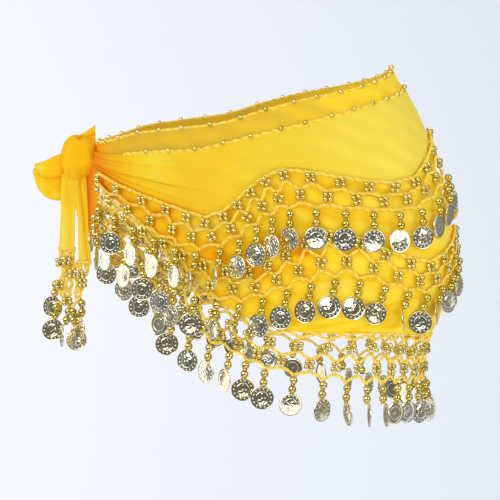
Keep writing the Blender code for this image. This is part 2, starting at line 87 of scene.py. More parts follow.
# lifts of the backs of a row's net, beads and coins, of its coins near the knot, and of the surface that a
# turned coin must clear; rise of the upper chain over its flowers, and its arch between them; how far the
# lower flowers sink; start of the swing of the back half's coins, and those of them that hang edge on; how
# far each coin has turned, from the knot to the middle; how far some coins' faces tip up, by their pitch
ROWS = {
    "row_1": dict(
        table=ROW_1, net=4.3, bead=4.4, coin=4.9, crowded=12.3, clear=4.0, rise=4.6, arch=0.6, sink=1.7,
        phase=1.7, edge_on=(),
        turns=(26, -34, 8, 12, 23, 50, 52, 22, 14, 30, 26, -5, -5, -3, 0, 12, 177, 186, 19),
        tips={1: -1, 8: 3, 11: -6, 12: 0, 13: -7, 14: 4, 15: -3}),
    "row_2": dict(
        table=ROW_2, net=2.1, bead=2.4, coin=3.2, crowded=8.2, clear=1.8, rise=4.6, arch=0.6, sink=0.0,
        phase=3.4, edge_on=(17,),
        turns=(26, -5, -2, -25, -10, 2, -33, 36, 62, 14, 13, 21, 5, 13, -5, -55, 43, -26, 31, -21, 34),
        tips={3: 0, 9: -1, 10: 1, 11: 2, 12: 9, 13: 9, 14: -4, 16: 0}),
    "row_3": dict(
        table=ROW_3, net=-0.4, bead=-0.4, coin=2.0, crowded=2.0, clear=0.0, rise=8.0, arch=3.5, sink=0.0,
        phase=5.1, edge_on=(13, 14, 15),
        turns=(26, -36, -20, -27, 172, -39, -6, 18, 35, -21, -16, -8, -43, 80, 105, 108, 182, 190, 30, 29, 1),
        tips={3: 0, 5: 1, 9: 0, 10: 1, 11: -7, 12: -5}),
}
OUTER_EDGE_RISE = 5.0        # outer ply's lower edge over the flowers of row 1
HEM_RISE = 13.6              # hem over the flowers of row 3

# ---- drops
FLOWER = 4.6                 # half the height of a flower
LAST_CHAIN = 6.6             # last chain's crest below the flower over it
BEAD_RADIUS = 3.5            # of the two beads of a drop
BEAD_NECK = 4.2              # last chain's low point over the middle of a drop's first bead
BEAD_STEP = 7.9              # from one bead's middle to the next
COIN_RADIUS = 10.0
COIN_DROP = 21.2             # coin's middle below the first bead's
CALM_PITCH = 7               # from here on a row's coins no longer crowd
TURN_SWING = 34.0            # turns of the back half's coins: where they hang free, edge on,
EDGE_ON = 72.0               # crowded near the knot, and the first of all
CROWD_TURN = -36.0
FIRST_TURN = 26.0

# ---- knot and ends
KNOT_CENTRE = np.array((18.2, 0.0, -10.0))
TIP_SECTIONS = np.array([    # n, lower and upper edge
    (17.0, 8.0, 10.6), (12.3, 8.6, 13.2), (6.6, 7.6, 17.4), (2.0, 4.6, 20.8),
])
LOOP_SECTIONS = np.array([   # n, upper and lower edge
    (35.4, -7.5, -48.0), (42.0, -10, -47), (49.0, -13.5, -43.5), (55.0, -16, -35), (58.5, -17.5, -23),
])
# ends below the knot: n of both edges at the top and at the end, c of both edges, how far the top bends
# back and comes forward, height of the top and the end, ripples across, tone at the top and the end, how
# much wider the top is at both edges, folds that run down it (place across, depth, width), c of its net
TAILS = {
    "tail_long": dict(
        top=(10.5, 18.6), hem=(6.4, 17.8), c=(7.0, 7.0), back=5.1, forward=0.0, height=(-24, -106),
        ripples=1.5, tone=(0.32, 0.18), wider=(0.0, 2.6),
        folds=((0.30, -0.9, 0.12), (0.72, 1.2, 0.16)), net=8.0),
    "tail_short": dict(
        top=(19.6, 31.4), hem=(21.6, 36.0), c=(5.0, 5.0), back=4.5, forward=1.6, height=(-24, -94),
        ripples=1.3, tone=(0.26, 0.10), wider=(3.0, 1.6),
        folds=((0.12, -0.7, 0.06), (0.52, 1.3, 0.22), (0.88, -0.7, 0.08)), net=4.0),
    "tail_under": dict(
        top=(-2.6, 9.6), hem=(-3.4, 8.6), c=(25.8, 0.0), back=0.0, forward=0.0, height=(-10, -84),
        ripples=0.8, tone=(0.95, 0.70), wider=(0.0, 0.0),
        folds=((0.25, 0.8, 0.15), (0.7, -0.8, 0.15)), net=0.0),
}


# ---------------------------------------------------------------- places

def smooth(table, column, x):
    """Read a column of a table at x, on the cubic Hermite curve through its rows."""
    xs, ys = table[:, 0].astype(float), table[:, column].astype(float)
    slope = np.gradient(ys, xs)
    x = np.clip(x, xs[0], xs[-1])
    i = np.clip(np.searchsorted(xs, x, side="right") - 1, 0, len(xs) - 2)
    step = xs[i + 1] - xs[i]
    u = (x - xs[i]) / step
    start = (1 + 2 * u) * (1 - u) ** 2 * ys[i] + u * (1 - u) ** 2 * step * slope[i]
    end = u * u * (3 - 2 * u) * ys[i + 1] + u * u * (u - 1) * step * slope[i + 1]
    return start + end


def ease(x, start, end):
    """0 before start, 1 after end, smooth between."""
    u = np.clip((x - start) / (end - start), 0, 1)
    return u * u * (3 - 2 * u)


def fold(angle):
    """Angle on the front half that mirrors the given one."""
    return CENTRE - np.abs(np.asarray(angle, float) - CENTRE)


def hip_points(angle, height, lift):
    """Points on the hips: an ellipse at each height, grown by the lift."""
    angle, height, lift = np.broadcast_arrays(*np.atleast_1d(angle, height, lift))
    half = smooth(HIP_SECTIONS, 1, height)
    turn = np.radians(angle)
    x = smooth(HIP_SECTIONS, 2, height) + (half + lift) * np.cos(turn)
    y = (HIP_DEPTH * half + lift) * np.sin(turn)
    return np.stack([x, y, height + 0.0 * x], axis=-1)


def unit(vectors):
    """The same vectors, each with length 1."""
    return vectors / np.maximum(np.linalg.norm(vectors, axis=-1, keepdims=True), 1e-9)


def hip_axes(angle):
    """Level directions along the hips and out of them."""
    turn = np.radians(np.atleast_1d(np.asarray(angle, float)))
    along = unit(np.stack([-np.sin(turn), HIP_DEPTH * np.cos(turn), 0 * turn], axis=-1))
    out = np.stack([along[..., 1], -along[..., 0], 0 * turn], axis=-1)
    return along, out


KNOT_FOOT = hip_points(KNOT, 0.0, 0.0)[0]
KNOT_ALONG, KNOT_OUT = (axis[0] for axis in hip_axes(KNOT))


def knot_points(n, c, height):
    """Points given from the knot's foot: n out of the hips, c along them towards the front."""
    n, c, height = np.broadcast_arrays(n, c, height)
    return KNOT_FOOT + n[..., None] * KNOT_OUT + c[..., None] * KNOT_ALONG + height[..., None] * UP


class Round:
    """Place on the hips for a row's parts: angle, height, lift."""
    points = staticmethod(hip_points)
    axes = staticmethod(hip_axes)


class Hanging:
    """Place on a tail's net for its parts: minus n, height, lift off the net's own c."""

    def __init__(self, front):
        self.front = front

    def points(self, x, height, lift):
        x, height, lift = np.atleast_1d(x, height, lift)
        return knot_points(-x, self.front + lift, height)

    def axes(self, x):
        shape = np.shape(np.atleast_1d(x)) + (3,)
        return np.broadcast_to(-KNOT_OUT, shape), np.broadcast_to(KNOT_ALONG, shape)


class Row:
    """Places of one row's flowers and drops. Past the middle pitch they mirror those before it."""

    def __init__(self, table):
        self.table = table
        self.middle = int(table[-1, 0])

    def read(self, pitch, column):
        """Place along and height, from two columns of the table, for an array of pitches."""
        pitch = np.asarray(pitch, float)
        near = np.minimum(pitch, 2 * self.middle - pitch)
        x = smooth(self.table, column, near)
        height = smooth(self.table, column + 1, near)
        return np.stack([np.where(pitch <= self.middle, x, 2 * CENTRE - x), height], axis=-1)

    def flower(self, pitch):
        return self.read(pitch, 1)

    def drop(self, pitch):
        return self.read(pitch, 3)

    def lower_flower(self, pitch):
        """The flower half a pitch on, half way down between the upper flowers and the drops."""
        pitch = np.asarray(pitch)
        return (self.flower(pitch) + self.flower(pitch + 1) + self.drop(pitch) + self.drop(pitch + 1)) / 4


# ---------------------------------------------------------------- meshes

def piece(name, points, faces, material, uv=None, tone=None, stands_for=(), dull=None):
    """One smooth-shaded object from points in millimetres and a list of face arrays (each n x 3 or
    n x 4), with an optional UV, tone and dullness for each point."""
    mesh = bpy.data.meshes.new(name)
    sizes = np.concatenate([np.full(len(block), block.shape[1]) for block in faces])
    corners = np.concatenate([block.reshape(-1) for block in faces]).astype(np.int32)
    mesh.vertices.add(len(points))
    mesh.vertices.foreach_set("co", (np.asarray(points, float) * MM).astype(np.float32).ravel())
    mesh.loops.add(len(corners))
    mesh.loops.foreach_set("vertex_index", corners)
    mesh.polygons.add(len(sizes))
    starts = np.concatenate([[0], np.cumsum(sizes)[:-1]]).astype(np.int32)
    mesh.polygons.foreach_set("loop_start", starts)
    mesh.update(calc_edges=True)
    mesh.polygons.foreach_set("use_smooth", np.ones(len(sizes), bool))
    if uv is not None:
        layer = mesh.uv_layers.new(name="UVMap")
        layer.data.foreach_set("uv", np.asarray(uv, float)[corners].astype(np.float32).ravel())
    for label, values in (("tone", tone), ("dull", dull)):
        if values is not None:
            layer = mesh.attributes.new(name=label, type="FLOAT", domain="POINT")
            layer.data.foreach_set("value", np.asarray(values, np.float32))
    mesh.validate()
    mesh.materials.append(material)
    thing = bpy.data.objects.new(name, mesh)
    bpy.context.scene.collection.objects.link(thing)
    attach(thing, "root")
    if stands_for:
        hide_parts(*stands_for)
    return thing


def grid_faces(columns, rows):
    """Quads of a grid whose points are numbered column by column."""
    number = np.arange(columns * rows).reshape(columns, rows)
    return np.stack([number[:-1, :-1], number[1:, :-1], number[1:, 1:], number[:-1, 1:]], -1).reshape(-1, 4)


def round_faces(rings, around):
    """Faces of a closed round form whose points are numbered ring by ring, with one more point for each
    end after them: quads between the rings, and a fan of triangles at the first and the last ring."""
    number = np.arange(rings * around).reshape(rings, around)
    beside = np.roll(number, -1, axis=1)
    quads = np.stack([number[:-1], number[1:], beside[1:], beside[:-1]], -1).reshape(-1, 4)
    first = np.stack([np.full(around, rings * around), number[0], beside[0]], -1)
    last = np.stack([np.full(around, rings * around + 1), beside[-1], number[-1]], -1)
    return quads, first, last


def outward(grid, towards):
    """Unit normals of a grid surface: the cross product of its two slopes, on the side of towards."""
    normal = unit(np.cross(np.gradient(grid, axis=0), np.gradient(grid, axis=1)))
    return normal * np.sign((normal * towards).sum(-1, keepdims=True) + 1e-9)


def shell(name, grid, towards, thick, material, uv, tone, stands_for, dull=None):
    """A closed wall: the grid, the same grid moved thick along its normals, and a rim round both.
    The face order follows the side that the normals are on."""
    columns, rows = grid.shape[:2]
    front = grid + outward(grid, towards) * thick
    quads = grid_faces(columns, rows)
    normal = np.cross(grid[1, 0] - grid[0, 0], grid[0, 1] - grid[0, 0])
    turned = normal @ np.broadcast_to(towards, grid.shape)[0, 0] < 0
    far = columns * rows
    number = np.arange(far).reshape(columns, rows)
    rim = np.concatenate([number[:-1, 0], number[-1, :-1], number[:0:-1, -1], number[0, :0:-1]])
    after = np.roll(rim, -1)
    band = np.stack([rim, after, after + far, rim + far], -1)
    if turned:
        quads, band = quads[:, ::-1], band[:, ::-1]
    twice = [None if values is None else np.concatenate([values.reshape(far, -1)] * 2)
             for values in (uv, tone, dull)]
    return piece(name, np.concatenate([grid.reshape(-1, 3), front.reshape(-1, 3)]),
                 [quads[:, ::-1], quads + far, band], material, twice[0], twice[1].ravel(),
                 stands_for, None if dull is None else twice[2].ravel())


def curve_through(points, steps):
    """A smooth curve through points: cubic Hermite pieces whose slopes are a quarter of the step between
    the neighbours."""
    points = np.asarray(points, float)
    slope = np.gradient(points, axis=0) / 2
    u = (np.arange(steps) / steps)[None, :, None]
    start = (1 + 2 * u) * (1 - u) ** 2 * points[:-1, None] + u * (1 - u) ** 2 * slope[:-1, None]
    end = u * u * (3 - 2 * u) * points[1:, None] + u * u * (u - 1) * slope[1:, None]
    return np.concatenate([(start + end).reshape(-1, points.shape[1]), points[-1:]])


def even_steps(path, step):
    """The same path with its points about one step apart."""
    gone = np.concatenate([[0], np.cumsum(np.linalg.norm(np.diff(path, axis=0), axis=1))])
    where = np.linspace(0, gone[-1], max(int(gone[-1] / step), 2) + 1)
    return np.stack([np.interp(where, gone, path[:, i]) for i in range(path.shape[1])], -1), where


def path_axes(path, out):
    """Unit directions along a path, and across it and out."""
    ahead = unit(np.gradient(path, axis=0))
    return ahead, unit(np.cross(ahead, out))


STRAND_SIDES = 4


def tube(path, out, radius):
    """Points and faces of a round strand along a path: a ring of points at each step, square to it,
    and a cap at both ends. Radius is one number or one for each step."""
    ahead, across = path_axes(path, out)
    rise = np.cross(across, ahead)
    turn = 2 * np.pi * np.arange(STRAND_SIDES) / STRAND_SIDES
    radius = np.broadcast_to(radius, len(path))[:, None, None]
    ring = np.cos(turn)[None, :, None] * across[:, None] + np.sin(turn)[None, :, None] * rise[:, None]
    points = (path[:, None] + radius * ring).reshape(-1, 3)
    number = np.arange(len(points)).reshape(-1, STRAND_SIDES)
    beside = np.roll(number, -1, axis=1)
    quads = np.stack([number[1:], beside[1:], beside[:-1], number[:-1]], -1).reshape(-1, 4)
    return points, [quads, number[0], number[-1][::-1]]


class Pile:
    """Points and faces gathered for one object. The faces are kept by their number of corners."""

    def __init__(self):
        self.points, self.faces, self.uv, self.tone, self.count = [], {}, [], [], 0

    def add(self, points, blocks, uv=None, tone=None):
        """More points, with face arrays that number them from 0."""
        points = np.asarray(points).reshape(-1, 3)
        for block in blocks:
            block = np.atleast_2d(block)
            self.faces.setdefault(block.shape[1], []).append(block + self.count)
        self.points.append(points)
        self.uv.append(np.zeros((len(points), 2)) if uv is None else np.broadcast_to(uv, (len(points), 2)))
        self.tone.append(np.broadcast_to(0.0 if tone is None else tone, len(points)))
        self.count += len(points)

    def make(self, name, material, slot, stands_for=()):
        """One object from all that was added."""
        faces = [np.concatenate(blocks) for blocks in self.faces.values()]
        return piece(name, np.concatenate(self.points), faces, material,
                     np.concatenate(self.uv), np.concatenate(self.tone), stands_for)


def twist(pile, path, out, radius, pitch=5.4):
    """Crocheted cord along a path: two round plies that wind round each other, each a little more than
    half the cord's radius from its middle, once in every pitch. UV runs along the cord in metres."""
    both, where = even_steps(np.concatenate([path, out], axis=1), 0.8)
    path, out = both[:, :3], both[:, 3:]
    _, across = path_axes(path, out)
    phase = 2 * np.pi * where / pitch
    for start in (0.0, np.pi):
        wind = np.cos(phase + start)[:, None] * across + 0.8 * np.sin(phase + start)[:, None] * out
        swell = 0.48 * radius * (1 + 0.12 * np.sin(phase * 0.5 + start))
        points, faces = tube(path + 0.62 * radius * wind, out, swell)
        uv = np.repeat(np.stack([where * MM, np.full(len(where), start)], -1), STRAND_SIDES, axis=0)
        pile.add(points, faces, uv)


def ball(around, rings):
    """Unit sphere: rings of points between two poles, and its faces."""
    turn = 2 * np.pi * np.arange(around) / around
    fall = np.pi * np.arange(1, rings + 1) / (rings + 1)
    fall, turn = np.meshgrid(fall, turn, indexing="ij")
    points = np.stack([np.sin(fall) * np.cos(turn), np.sin(fall) * np.sin(turn), np.cos(fall)], -1)
    return np.concatenate([points.reshape(-1, 3), [(0, 0, 1), (0, 0, -1)]]), round_faces(rings, around)


def repeat(pile, shape, faces, centres, axes=None, uv=None, tone=None):
    """Copies of a shape, one at each centre, turned by its own three axes (rows across, out, up)."""
    count, size = len(centres), len(shape)
    if axes is None:
        points = centres[:, None] + shape[None]
    else:
        points = centres[:, None] + np.einsum("ks,nsd->nkd", shape, axes)
    shift = (np.arange(count) * size)[:, None, None]
    blocks = [(block[None] + shift).reshape(-1, block.shape[1]) for block in faces]
    pile.add(points, blocks, None if uv is None else np.tile(uv, (count, 1)),
             None if tone is None else np.repeat(tone, size))


# ---------------------------------------------------------------- materials

class Nodes:
    """Short way to add and link nodes in one tree."""

    def __init__(self, tree):
        self.tree = tree

    def add(self, kind, **settings):
        """A new node. A setting that starts with in_ is the value of an input, by its name or number."""
        node = self.tree.nodes.new(kind)
        for key, value in settings.items():
            if key.startswith("in_"):
                name = key[3:]
                node.inputs[int(name) if name.isdigit() else name].default_value = value
            else:
                setattr(node, key, value)
        return node

    def link(self, source, target):
        self.tree.links.new(source, target)

    def math(self, operation, first, second=None, clamp=False):
        """Result of a sum on one or two numbers or outputs."""
        node = self.add("ShaderNodeMath", operation=operation, use_clamp=clamp)
        for slot, value in enumerate((first, second)):
            if value is None:
                continue
            if isinstance(value, (int, float)):
                node.inputs[slot].default_value = value
            else:
                self.link(value, node.inputs[slot])
        return node.outputs[0]

    def mix(self, share, first, second):
        """Mix of two colours, each a tuple or an output."""
        node = self.add("ShaderNodeMix", data_type="RGBA")
        for slot, value in ((0, share), (6, first), (7, second)):
            if isinstance(value, (int, float)):
                node.inputs[slot].default_value = value
            elif isinstance(value, tuple):
                node.inputs[slot].default_value = (*value, 1.0)
            else:
                self.link(value, node.inputs[slot])
        return node.outputs[2]

    def spots(self, group, place, scale, detail, low, high):
        """Uneven spots at a place, from low to high."""
        node = self.add("ShaderNodeGroup", node_tree=group,
                        in_Scale=scale, in_Detail=detail, in_Low=low, in_High=high)
        self.link(place, node.inputs["Vector"])
        return node.outputs["Value"]

    def bumped(self, height, strength, distance):
        """Normal of a surface with this height on it."""
        node = self.add("ShaderNodeBump", in_Strength=strength, in_Distance=distance)
        self.link(height, node.inputs["Height"])
        return node.outputs[0]

    def band(self, value, low, high, flip=False):
        """0 below low, 1 above high, smooth between; the other way round with flip."""
        node = self.add("ShaderNodeMapRange", interpolation_type="SMOOTHSTEP", clamp=True,
                        in_1=low, in_2=high, in_3=1.0 if flip else 0.0, in_4=0.0 if flip else 1.0)
        self.link(value, node.inputs[0])
        return node.outputs[0]


def material(name):
    """A new Principled material: its node helper and its shader."""
    thing = bpy.data.materials.new(name)
    thing.use_nodes = True
    nodes = Nodes(thing.node_tree)
    return thing, nodes, thing.node_tree.nodes["Principled BSDF"]


def set_inputs(shader, **values):
    """Set the shader's own sockets, named with underscores; a colour is a tuple of three."""
    for key, value in values.items():
        socket = shader.inputs[key.replace("_", " ")]
        socket.default_value = (*value, 1.0) if isinstance(value, tuple) else value


def uneven_spots():
    """Node group: soft uneven spots over a surface, as values from Low to High. A larger Scale makes them
    smaller, and more Detail makes them more ragged."""
    group = bpy.data.node_groups.new("uneven_spots", "ShaderNodeTree")
    group.interface.new_socket(name="Vector", in_out="INPUT", socket_type="NodeSocketVector")
    for name in ("Scale", "Detail", "Low", "High"):
        group.interface.new_socket(name=name, in_out="INPUT", socket_type="NodeSocketFloat")
    group.interface.new_socket(name="Value", in_out="OUTPUT", socket_type="NodeSocketFloat")
    nodes = Nodes(group)
    given, noise = nodes.add("NodeGroupInput").outputs, nodes.add("ShaderNodeTexNoise")
    for name in ("Vector", "Scale", "Detail"):
        nodes.link(given[name], noise.inputs[name])
    reach = nodes.math("SUBTRACT", given["High"], given["Low"])
    value = nodes.math("ADD", given["Low"], nodes.math("MULTIPLY", noise.outputs[0], reach))
    nodes.link(value, nodes.add("NodeGroupOutput").inputs["Value"])
    return group


# chiffon's colours as it grows warmer: tone, colour
CHIFFON_COLOURS = (
    (0.0, (0.98, 0.80, 0.105)), (0.15, (0.98, 0.74, 0.043)), (0.30, (0.98, 0.66, 0.016)),
    (0.50, (0.98, 0.56, 0.008)), (0.75, (0.98, 0.42, 0.004)), (1.0, (0.97, 0.28, 0.001)),
)


def cloth_material(spots):
    """Chiffon: lemon that turns orange with the tone and olive with the dullness, with a fine weave and
    soft crinkles, and thin enough to glow. The tone carries painted shade in creases and folds as well as the
    cloth's own colour."""
    thing, nodes, shader = material("yellow_chiffon")
    tone = nodes.add("ShaderNodeAttribute", attribute_name="tone").outputs["Fac"]
    dull = nodes.add("ShaderNodeAttribute", attribute_name="dull").outputs["Fac"]
    uv = nodes.add("ShaderNodeUVMap", uv_map="UVMap").outputs[0]
    ramp = nodes.add("ShaderNodeValToRGB")
    while len(ramp.color_ramp.elements) < len(CHIFFON_COLOURS):
        ramp.color_ramp.elements.new(0.5)
    for element, (place, colour) in zip(ramp.color_ramp.elements, CHIFFON_COLOURS):
        element.position, element.color = place, (*colour, 1.0)
    nodes.link(nodes.math("ADD", tone, nodes.spots(spots, uv, 38.0, 3.0, -0.08, 0.08), True), ramp.inputs[0])
    colour = nodes.mix(dull, ramp.outputs[0], (0.66, 0.43, 0.045))
    nodes.link(colour, shader.inputs["Base Color"])
    set_inputs(shader, Roughness=0.75, Specular_IOR_Level=0.08, Sheen_Weight=0.06, Sheen_Roughness=0.5,
               Sheen_Tint=(1.0, 0.8, 0.2))
    weave = nodes.spots(spots, uv, 900.0, 1.0, 0.0, 0.12)
    crinkle = nodes.spots(spots, uv, 120.0, 3.0, 0.0, 1.0)
    normal = nodes.bumped(nodes.math("ADD", weave, crinkle), 0.30, 0.0012)
    nodes.link(normal, shader.inputs["Normal"])
    glow = nodes.add("ShaderNodeBsdfTranslucent")
    nodes.link(colour, glow.inputs["Color"])
    nodes.link(normal, glow.inputs["Normal"])
    both = nodes.add("ShaderNodeMixShader", in_0=0.20)
    nodes.link(shader.outputs[0], both.inputs[1])
    nodes.link(glow.outputs[0], both.inputs[2])
    nodes.link(both.outputs[0], thing.node_tree.nodes["Material Output"].inputs["Surface"])
    return thing


STITCH = 0.0031              # metres from one stitch of a chain to the next


def thread_material(spots):
    """Crochet thread: light yellow stitches with deeper yellow between them along the cord: a painted
    highlight on each stitch and painted shade between them.
    """
    thing, nodes, shader = material("yellow_thread")
    split = nodes.add("ShaderNodeSeparateXYZ")
    nodes.link(nodes.add("ShaderNodeUVMap", uv_map="UVMap").outputs[0], split.inputs[0])
    along = nodes.math("ADD", nodes.math("MULTIPLY", split.outputs[0], 2 * np.pi / STITCH), split.outputs[1])
    stitch = nodes.math("MULTIPLY", nodes.math("ADD", nodes.math("SINE", along), 1.0), 0.5)
    uneven = nodes.spots(spots, nodes.add("ShaderNodeTexCoord").outputs["Object"], 260.0, 2.0, 0.0, 0.65)
    # painted highlight on the stitches and painted shade between them; the uneven spots are the thread's own
    light = nodes.band(nodes.math("ADD", nodes.math("MULTIPLY", stitch, 0.55), uneven), 0.2, 0.7)
    nodes.link(nodes.mix(light, (0.93, 0.54, 0.016), (1.0, 0.80, 0.14)), shader.inputs["Base Color"])
    set_inputs(shader, Roughness=0.7, Specular_IOR_Level=0.08)
    return thing


def bead_material():
    """Polished gilt beads, each a little lighter or darker by its tone, darker where they turn away."""
    thing, nodes, shader = material("gilt_beads")
    tone = nodes.add("ShaderNodeAttribute", attribute_name="tone").outputs["Fac"]
    nodes.link(nodes.mix(tone, (0.72, 0.58, 0.12), (0.96, 0.84, 0.38)), shader.inputs["Base Color"])
    set_inputs(shader, Metallic=1.0, Roughness=0.09, Specular_Tint=(0.30, 0.24, 0.05))
    return thing


def coin_material(spots):
    """Pale gilt coins, polished, with fine curls struck in the middle, a line round them and wear that
    dulls them in spots."""
    thing, nodes, shader = material("pale_gilt_coins")
    tone = nodes.add("ShaderNodeAttribute", attribute_name="tone").outputs["Fac"]
    split = nodes.add("ShaderNodeSeparateXYZ")
    nodes.link(nodes.add("ShaderNodeUVMap", uv_map="UVMap").outputs[0], split.inputs[0])
    x, y = split.outputs[0], split.outputs[1]
    radius = nodes.math("SQRT", nodes.math("ADD", nodes.math("MULTIPLY", x, x), nodes.math("MULTIPLY", y, y)))
    turn = nodes.math("MULTIPLY", nodes.math("ARCTAN2", y, x), 4.0)
    curls = nodes.math("SINE", nodes.math("ADD", turn, nodes.math("MULTIPLY", radius, 17.0)))
    middle = nodes.band(radius, 0.40, 0.50, True)
    line = nodes.math("MULTIPLY", nodes.band(radius, 0.52, 0.55), nodes.band(radius, 0.57, 0.60, True))
    height = nodes.math("ADD", nodes.math("MULTIPLY", nodes.math("MULTIPLY", curls, middle), 0.4), line)
    nodes.link(nodes.bumped(height, 0.6, 0.00020), shader.inputs["Normal"])
    nodes.link(nodes.mix(tone, (0.92, 0.84, 0.60), (0.89, 0.89, 0.77)), shader.inputs["Base Color"])
    worn = nodes.spots(spots, nodes.add("ShaderNodeTexCoord").outputs["Object"], 420.0, 2.0, 0.05, 0.15)
    nodes.link(worn, shader.inputs["Roughness"])
    set_inputs(shader, Metallic=1.0)
    return thing


def backdrop_material(right):
    """Matt pale paper, a little greyer to the right, clear from behind so that the far side can be seen."""
    thing, nodes, shader = material("pale_backdrop")
    set_inputs(shader, Roughness=1.0, Specular_IOR_Level=0.0)
    along = nodes.add("ShaderNodeVectorMath", operation="DOT_PRODUCT")
    nodes.link(nodes.add("ShaderNodeTexCoord").outputs["Object"], along.inputs[0])
    along.inputs[1].default_value = tuple(right)
    shade = nodes.band(along.outputs["Value"], -0.35, 0.45)
    nodes.link(nodes.mix(shade, (0.825, 0.835, 0.875), (0.77, 0.805, 0.87)), shader.inputs["Base Color"])
    both = nodes.add("ShaderNodeMixShader")
    nodes.link(nodes.add("ShaderNodeNewGeometry").outputs["Backfacing"], both.inputs[0])
    nodes.link(shader.outputs[0], both.inputs[1])
    nodes.link(nodes.add("ShaderNodeBsdfTransparent").outputs[0], both.inputs[2])
    nodes.link(both.outputs[0], thing.node_tree.nodes["Material Output"].inputs["Surface"])
    return thing


# ---------------------------------------------------------------- cloth round the hips

# thickness of the cloth walls; lengths that lay the cloth flat
PLY_WALL, LOOP_WALL, TAIL_WALL = 1.0, 2.0, 1.2
ARC = 2.6                    # millimetres round the hips for each degree, near the top edge
LOW_ARC = 2.7                # the same between the nets

# lines of the fan: share of the ply's height at the knot, the same far from it, width above the line
# and below it, height in mm, angle where it has risen, angle where it starts to fade, angle where it
# is gone
FAN = (
    (0.12, 0.24, 0.100, 0.050, 1.3, -150, -120, -62),
    (0.34, 0.36, 0.080, 0.040, 0.9, -150, -130, -88),
    (0.55, 0.58, 0.170, 0.020, 2.8, -152, -100, -77),
    (0.62, 0.80, 0.100, 0.034, 1.8, -150, -110, -82),
    (0.82, 0.93, 0.080, 0.040, 0.9, -150, -130, -96),
)


def fan(near, share):
    """Lift of the pleats that run out of the knot, and the depth of the crease below each: ridges at the
    fan's lines, rounded above and steep below, fading along the hips."""
    total, groove = 0.0 * share, 0.0 * share
    along = ease(near, -154, -90)
    for start, end, above, below, height, risen, fade, gone in FAN:
        off = share - start - (end - start) * along
        strength = height * ease(near, -153, risen + 8) * (1 - ease(near, fade, gone))
        total = total + strength * np.exp(-(off / np.where(off < 0, above, below)) ** 2)
        groove = groove + 0.35 * strength * np.exp(-((off - 1.6 * below) / (1.2 * below)) ** 2)
    return total - 0.3 * groove, groove


WAVES, WAVE_SUM = 7, 2.6     # slow waves in a sum, and about the most that they add up to


def soft_waves(angle, height, seed, size):
    """Uneven soft troughs and ridges: a sum of slow waves that lean differently, in millimetres."""
    dice = np.random.default_rng(seed)
    x, total = angle * ARC, 0.0
    for _ in range(WAVES):
        long, tall = dice.uniform(38, 110), dice.uniform(14, 40)
        lean, phase = dice.uniform(-0.35, 0.35), dice.uniform(0, 2 * np.pi)
        wave = np.sin(2 * np.pi * (x / long + (height + lean * x) / tall) + phase)
        total = total + dice.uniform(0.5, 1.0) * wave
    return size * total / WAVE_SUM


def read_round(near, table):
    """Read a table of angle and value at a mirrored angle, straight between its rows."""
    return np.interp(near, *np.array(table).T)


# soft patches of the inner ply: angle and height of the middle, reach along and up, strength
DOUBLED_AND_SHADED = (                  # more orange: where the cloth lies double, and painted shade near the coins
    (-81, -84, 15, 8, 0.50),
    (-68, -97, 10, 8, 0.42),
    (-56, -81, 10, 8, 0.40),
    (-65, -70, 9, 7, 0.36),
    (-100, -50, 12, 6, 0.34),
    (-110, -64, 10, 7, 0.30),
    (-98, -70, 12, 7, 0.34),
)
SHEER = (                    # where it's thin and stretched, greyer
    (-90, -62, 9, 7, 0.40),
    (-82, -60, 9, 7, 0.40),
    (-88, -108, 11, 7, 0.45),
    (-75, -105, 11, 8, 0.45),
    (-44, -106, 16, 9, 0.22),
)


def patches(near, height, table):
    """Soft spots on the cloth, each a bell in the distance along and up from its middle."""
    return sum(strong * np.exp(-((near - middle) * LOW_ARC / along) ** 2 - ((height - level) / up) ** 2)
               for middle, level, along, up, strong in table)


def hem_height(angle):
    """Hem of the inner ply: a constant rise over the lowest row's upper flowers."""
    return smooth(ROW_3[:, 1:3], 1, fold(angle)) + HEM_RISE


def edge_height(angle):
    """Lower edge of the outer ply, just behind the first row's upper chain."""
    return smooth(ROW_1[:, 1:3], 1, fold(angle)) + OUTER_EDGE_RISE


def fine_creases(angle, height, seed, count=34):
    """Long thin creases, mostly level: each a rounded groove along a short line at a seeded place between
    the hem and the outer ply. Gives their depth in millimetres."""
    dice = np.random.default_rng(seed)
    turns = np.linspace(-156, CENTRE, 60)
    hem, edge = hem_height(turns), edge_height(turns)
    total, x = 0.0 * angle, angle * LOW_ARC
    for _ in range(count):
        start = dice.uniform(x.min() + 15, x.max() - 15)
        near = fold(start / LOW_ARC)
        level = dice.uniform(np.interp(near, turns, hem) + 6, np.interp(near, turns, edge) - 4)
        long, lean = dice.uniform(22, 52), dice.normal(0.06, 0.14)
        depth, width = dice.uniform(0.35, 0.8), dice.uniform(1.5, 2.6)
        along = (x - start) / long
        off = height - level - lean * (x - start) - 1.5 * np.sin(2.2 * along + level)
        total = total + depth * np.exp(-(off / width) ** 2) * np.exp(-(along * 1.6) ** 2)
    return total


# how orange the inner ply is round the hips, the same between its top edge and the second edge, and how
# olive it is there; then how orange and how olive the outer ply is: mirrored angle, amount
# near the knot the inner ply is more orange partly from the gathered cloth and partly as painted shade near
# the coins
INNER_WARMTH = (
    (-155, 1.0), (-140, 0.80), (-122, 0.58), (-104, 0.34), (-88, 0.26), (-72, 0.22),
    (-55, 0.20), (-35, 0.14), (25, 0.08),
)
STRIP_WARMTH = ((-152, 0.95), (-138, 0.75), (-128, 0.58), (-113, 0.34), (-60, 0.24), (25, 0.12))
